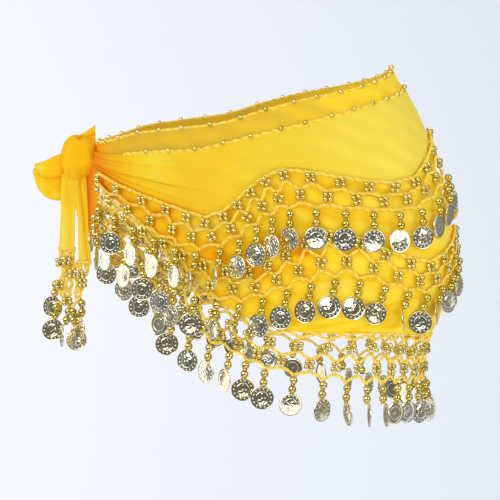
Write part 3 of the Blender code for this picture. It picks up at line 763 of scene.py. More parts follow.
# the strip's olive is painted shade: the shaded body behind the single ply, seen through it
STRIP_OLIVE = ((-140, 0.0), (-128, 0.30), (-119, 0.58), (-75, 0.58), (-45, 0.44), (-30, 0.06), (25, 0.0))
OUTER_WARMTH = (
    (-155, 1.0), (-140, 0.90), (-132, 0.78), (-125, 0.60), (-118, 0.46), (-110, 0.22), (-102, 0.11),
    (-92, 0.25), (-81, 0.26), (-68, 0.19), (-54, 0.15), (-36, 0.08), (-14, 0.02), (25, 0.0),
)
OUTER_OLIVE = ((-105, 0.0), (-90, 0.20), (-50, 0.28), (-15, 0.10))


def ply_places(ends, columns, rows, top_edge, bottom):
    """Places on a ply: angle, share of the way down, angle mirrored to the front half, and height. Its
    columns are at even angles and its rows at even shares of the way down."""
    angle, share = np.meshgrid(np.linspace(*ends, columns), np.linspace(0, 1, rows), indexing="ij")
    near = fold(angle)
    top = smooth(top_edge, 1, near)
    return angle, share, near, top + (bottom(angle) - top) * share


def ply_wall(name, angle, height, lift, chiffon, cut_at, tone, dull, stands_for):
    """A ply's wall, lifted off the hips. Its UV is the cloth laid flat, in metres, from cut_at on."""
    towards = np.stack([np.cos(np.radians(angle)), np.sin(np.radians(angle)), 0 * angle], -1)
    uv = np.stack([angle * ARC * MM + cut_at, height * MM], -1)
    shell(name, hip_points(angle, height, lift), towards, PLY_WALL, chiffon, uv, tone, stands_for,
          np.clip(dull, 0, 1))


def make_inner_ply(side, ends, chiffon):
    """Single layer from the top edge to the hem. Soft waves lift it, and creases and the outer ply press
    it in; the strip over the second edge is rucked along the top."""
    angle, share, near, height = ply_places(ends, 241, 101, TOP_EDGE, hem_height)
    edge, second = edge_height(angle), smooth(SECOND_EDGE, 1, near)
    under = ease(height, edge - 10, edge + 6)
    strip = ease(height, second - 3, second + 2)
    gather = ease(near, -151, -138)
    wave = soft_waves(angle, height, 5, 1.5) * gather * (1 - 0.85 * under)
    wave = wave * (1 - 0.5 * ease(share, 0.93, 1.0)) - 0.5 * gather * (1 - under)
    creases = fine_creases(angle, height, 21 if side == "front" else 22) * (1 - under) * gather
    ruck = strip * gather * np.exp(-((share - 0.02) / 0.08) ** 2) * np.sin(near * 0.33 + height * 0.45)
    wave = np.minimum(wave, 1.0) - creases + 0.35 * ruck
    sheer = patches(near, height, SHEER)
    # painted shade: more orange in the troughs of the soft waves and in the fine creases
    tone = read_round(near, INNER_WARMTH) + 0.10 * ease(-wave, 0.3, 1.6) + 0.34 * creases
    # these orange patches are partly the cloth lying double and partly painted shade near the coins
    tone = tone + patches(near, height, DOUBLED_AND_SHADED) - 0.7 * sheer
    tone = tone * (1 - strip) + strip * read_round(near, STRIP_WARMTH)
    # painted shade of the body behind the single strip, seen through it, as olive
    dull = strip * read_round(near, STRIP_OLIVE) + 0.7 * (1 - strip) * sheer
    dull = dull + 0.14 * soft_waves(angle, height, 9, 1.0) * (strip > 0.5)
    stands = ("inner_ply_front",) if side == "front" else ("inner_ply_back_right", "inner_ply_back_left")
    ply_wall("chiffon_inner_" + side, angle, height, wave, chiffon, 0.0, tone, dull, stands)


def make_outer_ply(side, ends, chiffon):
    """Folded-over layer from the second edge to the first net: slow waves and the knot's fan of pleats,
    more orange along its lower edge near the knot. The orange in the crease under each pleat and in a band
    along the lower edge is painted shade."""
    angle, share, near, height = ply_places(ends, 261, 65, SECOND_EDGE, edge_height)
    slow = soft_waves(angle, height, 8, 0.7) * ease(near, -151, -138) * (1 - ease(share, 0.85, 1.0))
    slow = slow * ease(share, 0, 0.12) * (1 - 0.75 * ease(near, -60, -25))
    pleats, groove = fan(near, share)
    # painted shade: more orange in the crease under each pleat
    tone = read_round(near, OUTER_WARMTH) + 0.26 * groove
    tone = tone + 0.16 * ease(share, 0.3, 0.9) * (1 - ease(near, -100, -70)) * ease(near, -150, -135)
    # painted shadow: a more orange band along the lower edge, just over the first net
    tone = tone + 0.32 * ease(share, 0.90, 0.98) * (1 - ease(near, -92, -78)) * ease(near, -150, -128)
    dull = read_round(near, OUTER_OLIVE) + 0.05 * soft_waves(angle, height, 10, 1.0)
    lift = OUTER_LIFT + pleats + np.maximum(slow, -0.35)
    ply_wall("chiffon_outer_" + side, angle, height, lift, chiffon, 0.5, tone, dull, ("outer_ply_" + side,))


SIDE_GAP = 0.06              # degrees from the middle to each half


def make_cloth(chiffon):
    """The two plies, each in a front and a back half that meet at the scarf's middle."""
    halves = {"front": (CLOTH_END, CENTRE - SIDE_GAP), "back": (CENTRE + SIDE_GAP, 2 * CENTRE - CLOTH_END)}
    for side, ends in halves.items():
        make_inner_ply(side, ends, chiffon)
        make_outer_ply(side, ends, chiffon)


# ---------------------------------------------------------------- knot, loop and ends

# the knot's outline about its centre: angle from the outward side, up over the top, and reach
KNOT_OUTLINE = np.array([
    (-30, 15.8), (11, 16.3), (31, 17.0), (57, 20.2), (78, 22.0), (95, 21.7), (114, 22.5), (137, 22.4),
    (161, 19.6), (180, 19.9), (200, 20.6), (226, 18.6), (250, 18.4), (275, 20.9), (306, 19.5), (330, 15.8),
    (371, 16.3),
])
# creases across the knot's front: start and end as n, height; depth, width
KNOT_CREASES = (
    ((17.0, 9.2), (22.5, 11.5), 1.9, 1.1),
    ((16.5, 8.6), (8.0, 13.0), 2.0, 1.2),
    ((15.5, 10.2), (13.0, 13.0), 1.2, 1.4),
    ((9.0, 11.0), (3.5, 2.0), 0.8, 2.2),
    ((25.0, -32.0), (26.0, -16.0), 0.9, 1.6),
    ((15.0, -34.0), (14.0, -20.0), 0.8, 1.6),
    ((3.0, -24.0), (6.5, -8.0), 0.8, 1.8),
    ((33.5, -10.0), (27.0, 3.0), 0.7, 2.2),
)


def crease(n, z, start, end, depth, width):
    """Depth of a crease at a place: a rounded groove along a line, fading towards its end."""
    a, b = np.array(start), np.array(end)
    d = b - a
    u = np.clip(((n - a[0]) * d[0] + (z - a[1]) * d[1]) / (d @ d), 0, 1)
    away = np.hypot(n - a[0] - u * d[0], z - a[1] - u * d[1])
    return depth * np.exp(-(away / width) ** 2) * (1 - u) ** 0.7


# edges of the layers that wrap round the knot: a line as two points (n, height), how far the side to
# the left of it lies below the other, softness
KNOT_LAYERS = (
    ((14.0, 12.0), (0.0, -14.0), 0.8, 1.8),
    ((31.0, -14.0), (22.0, -30.0), 0.7, 1.6),
)


def side_uv(n, z, start):
    """UV in metres of cloth beside the knot, as seen from the front. Each piece has its own start, so no
    two show the same crinkles."""
    return np.stack([n, z], -1) * MM + start


def make_knot(chiffon):
    """The wrapped knot. Round its outline the reach follows the table; from the outline to the front and
    back the section is a superellipse; layers step down across their edges, and creases are taken off
    along the way out."""
    around, rings = 112, 52
    turn = np.linspace(0, 360, around, endpoint=False)
    tilt = np.radians(np.linspace(-90, 90, rings + 2)[1:-1])
    tilt, turn = np.meshgrid(tilt, turn, indexing="ij")
    reach = smooth(KNOT_OUTLINE, 1, np.where(turn > 330, turn - 360, turn))
    flat = np.cos(tilt) ** 0.6
    n = KNOT_CENTRE[0] + reach * flat * np.cos(np.radians(turn))
    z = KNOT_CENTRE[2] + reach * flat * np.sin(np.radians(turn))
    side, open_out = np.sign(np.sin(tilt)), np.abs(np.sin(tilt))
    deep = 7.0 + 8.0 * ease(z, -35, -14)
    folds = sum(crease(n, z, *row) for row in KNOT_CREASES)
    step = 0.0 * n
    for start, end, drop_by, soft in KNOT_LAYERS:
        d = np.array(end) - np.array(start)
        off = (d[0] * (z - start[1]) - d[1] * (n - start[0])) / np.hypot(*d)
        step = step + drop_by * (0.5 - 0.5 * np.tanh(off / soft))
    band = 0.5 * np.sin((n * 0.55 + z * 0.20) * 0.42 + 0.6)
    corner = 3.0 * np.exp(-((n - 4.0) / 6.5) ** 2 - ((z + 13.0) / 9.0) ** 2)
    c = side * (deep * open_out ** 0.75 + (band + corner - folds - step) * open_out ** 0.5)
    ends = np.array([c[0].mean() - 0.5, c[-1].mean() + 0.5])
    points = np.concatenate([knot_points(n, c, z).reshape(-1, 3),
                             knot_points(KNOT_CENTRE[0], ends, KNOT_CENTRE[2])])
    uv = np.concatenate([side_uv(n, z, 1.0).reshape(-1, 2), [(1.0, 1.0), (1.0, 1.0)]])
    # painted shade: more orange in the creases and on the lower side of each layer's edge
    tone = 0.38 + 0.26 * folds + 0.06 * step + 0.12 * ease(n, 12, -2) - 0.08 * ease(z, -18, -32)
    tone = np.concatenate([tone.reshape(-1), [0.42, 0.42]])
    piece("knot_wrap", points, round_faces(rings, around), chiffon, uv, tone, ("knot",))


def make_tip(chiffon):
    """The cloth tip that stands up from the knot, curled a little."""
    down, across = np.meshgrid(np.linspace(0, 1, 24), np.linspace(0, 1, 14), indexing="ij")
    n, lower, upper = (np.interp(3 * down, np.arange(4), column) for column in TIP_SECTIONS.T)
    lower = lower - 2.0      # its foot is in the knot
    z = lower + (upper - lower) * across
    line = np.exp(-((across - 0.30 - 0.25 * down) / 0.10) ** 2) * ease(down, 0.25, 0.6)
    c = 2.0 * np.sin(np.pi * across) + 0.7 * np.sin(5 * across + 3 * down) - 1.2 * line
    # painted shade: more orange along the crease line pressed into the tip
    tone = 0.30 + 0.30 * (1 - across) ** 2 + 0.40 * line
    shell("knot_tip_cloth", knot_points(n, c, z), KNOT_ALONG, PLY_WALL, chiffon, side_uv(n, z, 2.0), tone,
          ("knot_tip",))


def make_loop(chiffon):
    """The flattened loop beside the knot: two rounded humps one over the other, with fold lines that run
    towards the knot. Its inner end lies behind the hanging ends."""
    n, share = np.meshgrid(np.linspace(27.5, LOOP_SECTIONS[-1, 0], 72), np.linspace(0, 1, 64), indexing="ij")
    top, bottom = smooth(LOOP_SECTIONS, 1, n), smooth(LOOP_SECTIONS, 2, n)
    z = top + (bottom - top) * share
    spread = ease(n, 30, LOOP_SECTIONS[-1, 0])
    parting = 0.44 + 0.06 * np.sin(0.12 * (n - 30))
    upper = np.clip(share / parting, 0, 1)
    lower = np.clip((share - parting) / (1 - parting), 0, 1)
    humps = 4.6 * upper ** 0.7 * (1 - upper ** 9)
    humps = humps + 5.0 * np.sin(np.pi * lower ** 0.75) ** 0.8 * (share > parting)
    fine = 0.5 * np.sin(2 * np.pi * (5.3 * share + 0.5 * spread)) * (1 - spread)
    fine = fine + 0.3 * np.sin(17 * share + 5 * spread)
    c = -6.5 + humps * (0.75 + 0.25 * spread) + fine - 2.5 * (1 - ease(n, 27, 36))
    groove = np.exp(-((share - parting - 0.02) / 0.035) ** 2)
    second = np.exp(-((share - 0.60 - 0.0030 * (n - 35)) / 0.022) ** 2) * ease(n, 34, 40)
    pale = np.exp(-((share - 0.16) / 0.08) ** 2) * ease(n, 47, 55)
    pale = pale + np.exp(-((share - 0.88) / 0.07) ** 2) * (1 - ease(n, 39, 45))
    # painted shade: more orange in the groove between the humps and along a second fold line, which has no
    # relief of its own; painted highlight: the pale bands near the top at the outer end and near the bottom
    # at the inner end
    tone = 0.25 + 0.30 * groove + 0.14 * second + 0.16 * (1 - spread) - 0.34 * pale
    shell("knot_loop_cloth", knot_points(n, c, z), KNOT_ALONG, LOOP_WALL, chiffon, side_uv(n, z, 3.0), tone,
          ("knot_loop",))


def make_tails(chiffon):
    """Cloth ends that hang below the knot. A few soft folds run down each and drift across it, and the
    upper part is wider, so the two long ends overlap until they part."""
    share, down = np.meshgrid(np.linspace(0, 1, 49), np.linspace(0, 1, 70), indexing="ij")

    def across(pair):
        return pair[0] + (pair[1] - pair[0]) * share

    wide = 1 - ease(down, 0.22, 0.52)
    for name, tail in TAILS.items():
        top, hem = across(tail["top"]), across(tail["hem"])
        inner, outer = tail["wider"]
        n = top + (hem - top) * down - inner * wide * (1 - share) + outer * wide * share
        wave = 0.7 * np.sin(2 * np.pi * (tail["ripples"] * share + 0.15 * down) + 2.0 * down)
        for place, depth, width in tail["folds"]:
            off = share - place - 0.09 * np.sin(2.4 * down + 7 * place)
            wave = wave + depth * np.exp(-(off / width) ** 2) * (0.6 + 0.4 * np.cos(2.8 * down + 5 * place))
        wave = wave * (0.35 + 0.65 * ease(down, 0.0, 0.35))
        c = across(tail["c"]) + wave + tail["forward"] * wide - tail["back"] * (1 - ease(down, 0.0, 0.22))
        start, end = tail["height"]
        z = start + (end - start) * down + 0.8 * np.sin(6 * share) * down
        edge = np.exp(-(np.minimum(share, 1 - share) / 0.045) ** 2)
        # painted shade: less orange where the ripples and folds stand forward, more where they sink back
        tone = tail["tone"][0] + (tail["tone"][1] - tail["tone"][0]) * down - 0.10 * wave + 0.14 * edge
        shell(name + "_cloth", knot_points(n, c, z), KNOT_ALONG, TAIL_WALL, chiffon, side_uv(n, z, 4.0), tone,
              (name,))


# ---------------------------------------------------------------- nets, beads and coins

CORD = 1.5                   # radius of a crocheted chain
BEAD_SHAPE, BEAD_FACES = ball(8, 5)
DROP_SHAPE, DROP_FACES = ball(10, 6)
SMALL_BEAD = 2.25            # radius of a flower's beads
FLOWER_REACH = 2.2 * 1.414   # from a flower's centre to its beads' middles, on the diagonal

# a coin's rings from the back's middle round the edge to the front's: radius, height, rise of the petals;
# heights of both middles; a dot's two rings: radius, height over the dot's foot; height of its top
COIN_RINGS = np.array([
    (6.0, 0.40, 0), (9.8, 0.15, 0), (10.1, 0.50, 0), (10.05, 0.95, 0), (9.8, 1.12, 0), (9.55, 0.98, 0),
    (9.1, 0.96, 0), (5.4, 1.26, 0), (4.9, 1.40, 0.11), (2.8, 1.54, 0.13), (1.2, 1.62, 0),
])
COIN_MIDDLES = (0.55, 1.66)
DOT_RINGS = ((1.0, -0.10), (0.66, 0.42))
DOT_TOP = 0.60
DOTS, DOT_SIDES, DOT_PLACE, DOT_FOOT = 14, 5, 7.8, 1.08


def level_ring(count, radius, height, start=0.0):
    """Points of a level ring: x and z round it, y its height. A height is one number or one for each."""
    turn = 2 * np.pi * (np.arange(count) + start) / count
    return np.stack([radius * np.cos(turn), 0 * turn + height, radius * np.sin(turn)], -1)


def coin_shape():
    """A coin as rings of points; x across, y out, z up. The back is a plain shallow dome. The front has a
    thin rim, a step down to a domed field that rises with the square of the way in, six petals raised by
    the cosine of six times the turn, and small domes in a ring."""
    around = 24
    petals = np.cos(6 * 2 * np.pi * np.arange(around) / around)
    points = np.concatenate([level_ring(around, radius, height + rise * petals)
                             for radius, height, rise in COIN_RINGS] + [[(0, y, 0) for y in COIN_MIDDLES]])
    quads, first, last = round_faces(len(COIN_RINGS), around)
    dot = np.concatenate([level_ring(DOT_SIDES, *ring) for ring in DOT_RINGS] + [[(0, DOT_TOP, 0)]])
    low = np.arange(DOT_SIDES)
    high, beside = low + DOT_SIDES, np.roll(low, -1)
    wall = np.stack([low, high, beside + DOT_SIDES, beside], -1)
    cap = np.stack([high, np.full(DOT_SIDES, 2 * DOT_SIDES), beside + DOT_SIDES], -1)
    dots = (level_ring(DOTS, DOT_PLACE, DOT_FOOT, 0.5)[:, None] + dot[None]).reshape(-1, 3)
    shift = (np.arange(DOTS) * len(dot))[:, None, None] + len(points)
    blocks = [quads, np.concatenate([first, last, (cap[None] + shift).reshape(-1, 3)]),
              (wall[None] + shift).reshape(-1, 4)]
    points = np.concatenate([points, dots])
    return points, blocks, points[:, [0, 2]] / COIN_RADIUS


COIN_SHAPE, COIN_FACES, COIN_UV = coin_shape()


def coin_turns(row, sizes, pitch):
    """How far each coin has turned on its thread, in radians, and the lift of its back. Those of the
    back half swing evenly."""
    near = np.minimum(pitch, 2 * row.middle - pitch)
    crowd = 1 - ease(near, CALM_PITCH - 3, CALM_PITCH + 1)
    swing = TURN_SWING * ease(near, CALM_PITCH, CALM_PITCH + 3) * np.sin(2.1 * pitch + sizes["phase"])
    together = np.where(near > 0, CROWD_TURN, FIRST_TURN) * crowd * np.where(pitch <= row.middle, 1, -1)
    turn = np.where(np.isin(near, sizes["edge_on"]), EDGE_ON, swing + together)
    turn = np.radians(np.where(pitch <= row.middle, np.array(sizes["turns"])[near], turn))
    lift = sizes["coin"] + (sizes["crowded"] - sizes["coin"]) * crowd
    return turn, np.maximum(lift, sizes["clear"] + COIN_RADIUS * np.abs(np.sin(turn)))


def coin_hang(row, sizes, pitch):
    """How drops hang: sideways lean for each millimetre of fall, and the tip of the coin's face."""
    count = len(pitch)
    lean = np.where(pitch < 5, 0.10, -0.11) + DICE.normal(0, 0.025, count)
    lean = np.where(pitch > row.middle, DICE.normal(0.02, 0.05, count), lean)
    tip = DICE.normal(1.0, 2.5, count)
    for k, degrees in sizes["tips"].items():
        tip = np.where(pitch == k, degrees, tip)
    return lean, np.radians(tip)


def lay(pile, place, knots, lift, radius, steps=8):
    """A twisted cord on a smooth curve through knots: along, height, and rise off the lift."""
    x, z, rise = curve_through(knots, steps).T
    twist(pile, place.points(x, z, lift + rise), place.axes(x)[1], radius)


def arches(knots):
    """Knots of a scalloped chain through alternate low points and crests, a low point first: level at
    the crests, and between two of them the fall grows as a power of the way along."""
    u = np.linspace(0, 1, 7)[:-1, None]
    path = []
    for i, (a, b) in enumerate(zip(knots[:-1], knots[1:])):
        share = u ** 1.7 if i % 2 else 1 - (1 - u) ** 1.7
        path.append(np.concatenate([a[:1] + (b[:1] - a[:1]) * u, a[1:] + (b[1:] - a[1:]) * share], axis=1))
    return np.concatenate([*path, knots[-1:]])


def cluster(pile, place, centres, lift):
    """Flowers of four beads, two over two, round each centre, each flower turned a little."""
    count = len(centres)
    along, out = place.axes(centres[:, 0])
    middle = place.points(centres[:, 0], centres[:, 1], lift + SMALL_BEAD * 0.95)
    up = np.broadcast_to(UP, along.shape)
    turned = DICE.normal(0, 11, count)
    for start in (45, 135, 225, 315):
        a = np.radians(start + turned + DICE.normal(0, 6, count))
        size = FLOWER_REACH * (1 + DICE.normal(0, 0.04, count))
        moved = middle + along * (1.06 * np.cos(a) * size)[:, None] + up * (0.96 * np.sin(a) * size)[:, None]
        moved = moved + out * DICE.normal(0, 0.25, count)[:, None]
        repeat(pile, BEAD_SHAPE * SMALL_BEAD, BEAD_FACES, moved, np.stack([along, out, up], 1),
               tone=DICE.uniform(0.2, 0.75, count))


SPACER = BEAD_SHAPE * np.array((2.2, 2.2, 0.9))
COIN_HOLE = 8.6              # a coin's hole over its middle
COIN_BACK, COIN_FRONT = -0.1, 1.9    # where its thread runs behind it and before it
COIN_THREAD = 0.55           # radius


def drop(beads, coins, threads, place, x, z, bead, turn, coin, lean, tip, tone):
    """Beads and coins of a set of drops, arrays of one value for each: two beads with a spacer under
    each, and a coin whose thread loops over its edge. The sideways shift grows with the fall."""
    along, out = place.axes(x)
    up = np.broadcast_to(UP, along.shape)
    axes = np.stack([along, out, up], 1)
    count = len(x)

    def below(depth, lift):
        return place.points(x, z - depth, lift) + along * (lean * depth)[:, None]

    for k in (0, 1):
        repeat(beads, DROP_SHAPE * BEAD_RADIUS, DROP_FACES, below(k * BEAD_STEP, bead + BEAD_RADIUS), axes,
               tone=DICE.uniform(0.0, 0.5, count))
        repeat(beads, SPACER, BEAD_FACES, below((k + 0.5) * BEAD_STEP, bead + BEAD_RADIUS), axes, tone=0 * x)
    across = np.cos(turn)[:, None] * along + np.sin(turn)[:, None] * out
    face = np.cos(turn)[:, None] * out - np.sin(turn)[:, None] * along
    spin = DICE.uniform(-0.5, 0.5, count)[:, None]
    tip = tip[:, None]
    face, rise = np.cos(tip) * face + np.sin(tip) * up, np.cos(tip) * up - np.sin(tip) * face
    centres = below(COIN_DROP, coin)
    right = np.cos(spin) * across + np.sin(spin) * rise
    top = np.cos(spin) * rise - np.sin(spin) * across
    repeat(coins, COIN_SHAPE, COIN_FACES, centres, np.stack([right, face, top], 1), COIN_UV, tone)
    start = below(BEAD_STEP + 3.0, bead + BEAD_RADIUS)
    for side, depth in ((-1, COIN_BACK), (1, COIN_FRONT)):
        hole = centres + rise * COIN_HOLE + face * depth + across * 0.4 * side
        middle = (start + hole) / 2 + across * 0.5 * side
        for a, b, c, o in zip(start, middle, hole, face):
            threads.add(*tube(np.array([a, b, c]), o, COIN_THREAD))


def knots_at(places, over, rise=0.0):
    """Knots of a cord a little over places, with a rise off the cord's lift."""
    return np.column_stack([places[:, 0], places[:, 1] + over, np.full(len(places), rise)])


def take_turns(outer, inner):
    """Rows of the first array with one row of the second between each two of them."""
    both = np.empty((len(outer) + len(inner), 3))
    both[::2], both[1::2] = outer, inner
    return both


def make_net(name, side, row, sizes, k, thread):
    """One half of a row: its upper chain and the one that zigzags under it, flowers and stubs. Gives the
    flowers' beads. At the scarf's middle it reaches half a pitch further, to the other half."""
    lift, sink, rise = sizes["net"], sizes["sink"], sizes["rise"]
    cord, beads = Pile(), Pile()
    gaps = k[:-1]
    flowers, between = row.flower(k), row.lower_flower(gaps)
    mids = (row.flower(gaps) + row.flower(gaps + 1)) / 2
    upper = take_turns(knots_at(flowers, rise), knots_at(mids, rise + sizes["arch"]))
    lower = take_turns(knots_at(flowers, -FLOWER, -0.4 * sink), knots_at(between, FLOWER, -0.8 * sink))
    last, step = (k[-1], 1) if side == "front" else (k[0], -1)
    end = (row.flower([last]) + row.flower([last + step])) / 2
    for path, over in ((upper, rise), (lower, 1.0 - FLOWER)):
        meeting = [path, knots_at(end, over)]
        lay(cord, Round, np.concatenate(meeting[::step]), lift + 1.0, CORD)
    stretches = ((flowers, rise, FLOWER, 0.4 * sink), (between, FLOWER, LAST_CHAIN, sink))
    for centres, top, bottom, deep in stretches:
        for x, z in centres:
            stub = [(x, z + top, 0.0), (x, z, -0.3), (x, z - bottom, 0.0)]
            lay(cord, Round, stub, lift + 0.7 - deep, 0.7)
        cluster(beads, Round, centres, lift - deep)
    cord.make("crochet_" + name, thread, "thread", ("net_" + name,))
    return beads


def make_metalwork(name, beads, coins, metal, coin_metal):
    """The beads and the coins of one net, each as one piece."""
    beads.make("beads_" + name, metal, "coin_metal")
    coins.make("struck_coins_" + name, coin_metal, "coin_metal", ("coins_" + name,))


def make_rows(thread, metal, coin_metal):
    """The three rows of net, beads and coins round the hips, each in a front and a back half. Under the
    net of each half come its last chain and its drops."""
    for row_name, sizes in ROWS.items():
        row = Row(sizes["table"])
        pitches = np.arange(2 * row.middle + 1)
        halves = {"front": pitches[:row.middle + 1], "back": pitches[row.middle + 1:]}
        for side, k in halves.items():
            name = row_name + "_" + side
            beads = make_net(name, side, row, sizes, k, thread)
            threads, coins = Pile(), Pile()
            at = row.drop(k)
            turn, lift = coin_turns(row, sizes, k)
            lean, tip = coin_hang(row, sizes, k)
            chain = take_turns(knots_at(at, BEAD_NECK), knots_at(row.lower_flower(k[:-1]), -LAST_CHAIN))
            lay(threads, Round, arches(chain), sizes["net"] + 1.0 - 0.5 * sizes["sink"], CORD, steps=2)
            tone = DICE.uniform(0, 1, len(k))
            drop(beads, coins, threads, Round, at[:, 0], at[:, 1], sizes["bead"], turn, lift, lean, tip, tone)
            threads.make("last_chain_" + name, thread, "thread")
            make_metalwork(name, beads, coins, metal, coin_metal)


# crossings of the tails' nets, in rows from the top: height, n of each, and 1 for each that is a flower
TAIL_FLOWERS = {
    "tail_short": (
        (-104.5, (34.6, 28.6, 22.8), (1, 1, 0)), (-114.5, (32.0, 25.6), (0, 0)),
        (-125.6, (35.5, 29.6, 24.0), (1, 0, 0)), (-133.5, (32.4, 26.4), (0, 0)), (-141.5, (28.2,), (1,)),
    ),
    "tail_long": (
        (-115.5, (23.2, 15.8, 9.8), (1, 1, 0)), (-123.0, (13.6, 19.2), (1, 0)),
        (-131.5, (21.0, 16.0), (0, 0)), (-140.0, (18.4,), (0,)),
    ),
}
# drops of the tails: n and height of the first bead, lift of the coin, turn, lean, tip up
TAIL_DROPS = {
    "tail_short": np.array([
        (38.4, -146.3, 2.0, 6, -0.15, 0), (27.3, -150.5, 7.0, 76, -0.22, 0),
        (20.1, -155.5, 2.0, 17, 0.02, 12), (39.4, -126.0, -4.0, 24, -0.12, 0),
    ]),
    "tail_long": np.array([(14.6, -142.6, 6.0, 64, 0.0, 0), (23.0, -150, 8.0, -72, 0.08, 0)]),
}
FLOWER_TOP, FLOWER_FOOT = 3.6, 3.4   # where cords join a tail's flower, over and under its middle


def tail_levels(name):
    """Crossings of a tail's net, level by level from the cloth's end to the drops, each as minus n,
    height, rise off the net, and 1 for a flower. Every other one stands out from the net."""
    end = TAILS[name]["height"][1]
    levels = [[(-n, end + 2.5, 0.0, 0) for n in np.linspace(*TAILS[name]["hem"], 5)]]
    for i, (height, places, kinds) in enumerate(TAIL_FLOWERS[name]):
        levels.append([(-n, height + DICE.normal(0, 0.8), 2.4 * ((i + j) % 2), kind)
                       for j, (n, kind) in enumerate(zip(places, kinds))])
    levels.append([(-n, height + BEAD_NECK, 1.0, 0) for n, height in TAIL_DROPS[name][:, :2]])
    return levels


def join_above(cord, place, upper, crossing):
    """Bowed cords from a crossing to the three nearest of the level above it."""
    x, z, rise, kind = crossing
    for over in sorted(upper, key=lambda other: abs(other[0] - x))[:3]:
        start, stop = over[1] - FLOWER_FOOT * over[3], z + FLOWER_TOP * kind
        bow = ((over[0] + x) / 2 + DICE.normal(0, 0.9), (start + stop) / 2, (over[2] + rise) / 2 + 0.8)
        lay(cord, place, [(over[0], start, over[2]), bow, (x, stop, rise)], 1.2, 1.6, steps=5)


def make_tail_nets(thread, metal, coin_metal):
    """A short crumpled net with drops at the end of each long tail: rows of crossings, some of them
    flowers, each joined to the nearest above it by bowed cords, the first row to the cloth's end."""
    for name, drops in TAIL_DROPS.items():
        place = Hanging(TAILS[name]["net"])
        cord, beads, coins = Pile(), Pile(), Pile()
        levels = tail_levels(name)
        for upper, lower in zip(levels[:-1], levels[1:]):
            for crossing in lower:
                join_above(cord, place, upper, crossing)
            flowers = np.array([crossing for crossing in lower if crossing[3]])
            if len(flowers):
                cluster(beads, place, flowers[:, :2], 1.4 + flowers[:, 2])
                for x, z, rise, _ in flowers:
                    stub = [(x, z + FLOWER_TOP, rise), (x, z, rise - 0.3), (x, z - FLOWER_FOOT, rise)]
                    lay(cord, place, stub, 0.9, 0.9, steps=3)
        across = -np.linspace(*TAILS[name]["hem"], 9)
        scallops = TAILS[name]["height"][1] + np.where(np.arange(9) % 2, 2.0, -0.8)
        lay(cord, place, np.column_stack([across, scallops, 0 * across]), 1.0, 1.3, steps=6)
        n, z, out, turn, lean, tip = drops.T
        turn = np.radians(turn)
        lift = out + COIN_RADIUS * np.abs(np.sin(turn)) * (out > 0)
        drop(beads, coins, cord, place, -n, z, np.minimum(out, 0.5), turn, lift, lean, np.radians(tip),
             DICE.uniform(0, 1, len(drops)))
        cord.make("crochet_" + name, thread, "thread", ("net_" + name,))
        make_metalwork(name, beads, coins, metal, coin_metal)


# edge, lift, first angle, angle to the first bead, angle between beads
TRIMS = {
    "top_edge": (TOP_EDGE, 0.4, -150.0, 8.8, 10.2),
    "second_edge": (SECOND_EDGE, OUTER_LIFT + 0.4, -117.5, 12.5, 9.7),
}
TRIM_BEAD = 2.1


def make_trims(thread, metal):
    """Crocheted trim with small beads along the top edge and the second edge, and a thin one at the
    hem. The first two wander a little up and down."""
    for name, (edge, lift, start, first, gap) in TRIMS.items():
        cord, beads = Pile(), Pile()
        angle = np.linspace(start, 2 * CENTRE - start, 400)
        wander = 0.2 + 0.35 * np.sin(angle * 1.9) + 0.3 * np.sin(angle * 3.3)
        edging = hip_points(angle, smooth(edge, 1, fold(angle)) + wander, lift + 0.3)
        twist(cord, edging, hip_axes(angle)[1], 1.45, pitch=4.6)
        at = np.arange(start + first, 2 * CENTRE - start, gap)
        at = at + DICE.normal(0, 0.5, len(at))
        centres = hip_points(at, smooth(edge, 1, fold(at)) + 1.0, lift + 1.4)
        repeat(beads, BEAD_SHAPE * TRIM_BEAD, BEAD_FACES, centres, tone=DICE.uniform(0, 1, len(at)))
        cord.make("trim_" + name, thread, "thread")
        beads.make("beads_" + name, metal, "coin_metal")
    cord = Pile()
    angle = np.linspace(-147, 2 * CENTRE + 147, 400)
    twist(cord, hip_points(angle, hem_height(angle) - 0.2, 0.6), hip_axes(angle)[1], 1.0, pitch=4.0)
    cord.make("trim_hem", thread, "thread")


# ---------------------------------------------------------------- surroundings

# the side that the camera looks from; right and away are level, as it sees them, and back goes to it
AZIMUTH, ELEVATION = np.radians(35.0), np.radians(5.0)
RIGHT = np.array((np.cos(AZIMUTH), np.sin(AZIMUTH), 0.0))
AWAY = np.array((-np.sin(AZIMUTH), np.cos(AZIMUTH), 0.0))
BACK = UP * np.sin(ELEVATION) - AWAY * np.cos(ELEVATION)
AIM = -0.0099 * RIGHT - 0.09 * np.cross(BACK, RIGHT)
CAMERA_DISTANCE, CAMERA_LENS, SENSOR_WIDTH = 2.3, 184.0, 36.0
FLOOR_HEIGHT = -0.85


def make_backdrop():
    """Pale sweep behind and below: a level floor that bends up into a wall. Its profile, by share of the
    way along, goes from the floor's front edge to the top of the wall."""
    across, along = np.meshgrid(np.linspace(-3.0, 3.0, 3), np.linspace(0, 1, 41), indexing="ij")
    profile = (0, 0.45, 0.75, 1.0)
    deep = np.interp(along, profile, (-1.9, 1.2, 2.2, 2.2))
    high = np.interp(along, profile, (0.0, 0.0, 1.4, 3.2)) + FLOOR_HEIGHT
    points = across[..., None] * RIGHT + deep[..., None] * AWAY + high[..., None] * UP
    mesh = bpy.data.meshes.new("backdrop")
    mesh.from_pydata(points.reshape(-1, 3).tolist(), [], grid_faces(*across.shape).tolist())
    mesh.polygons.foreach_set("use_smooth", np.ones(len(mesh.polygons), bool))
    mesh.materials.append(backdrop_material(RIGHT))
    backdrop = bpy.data.objects.new("backdrop", mesh)
    bpy.context.scene.collection.objects.link(backdrop)
    backdrop.visible_glossy = False


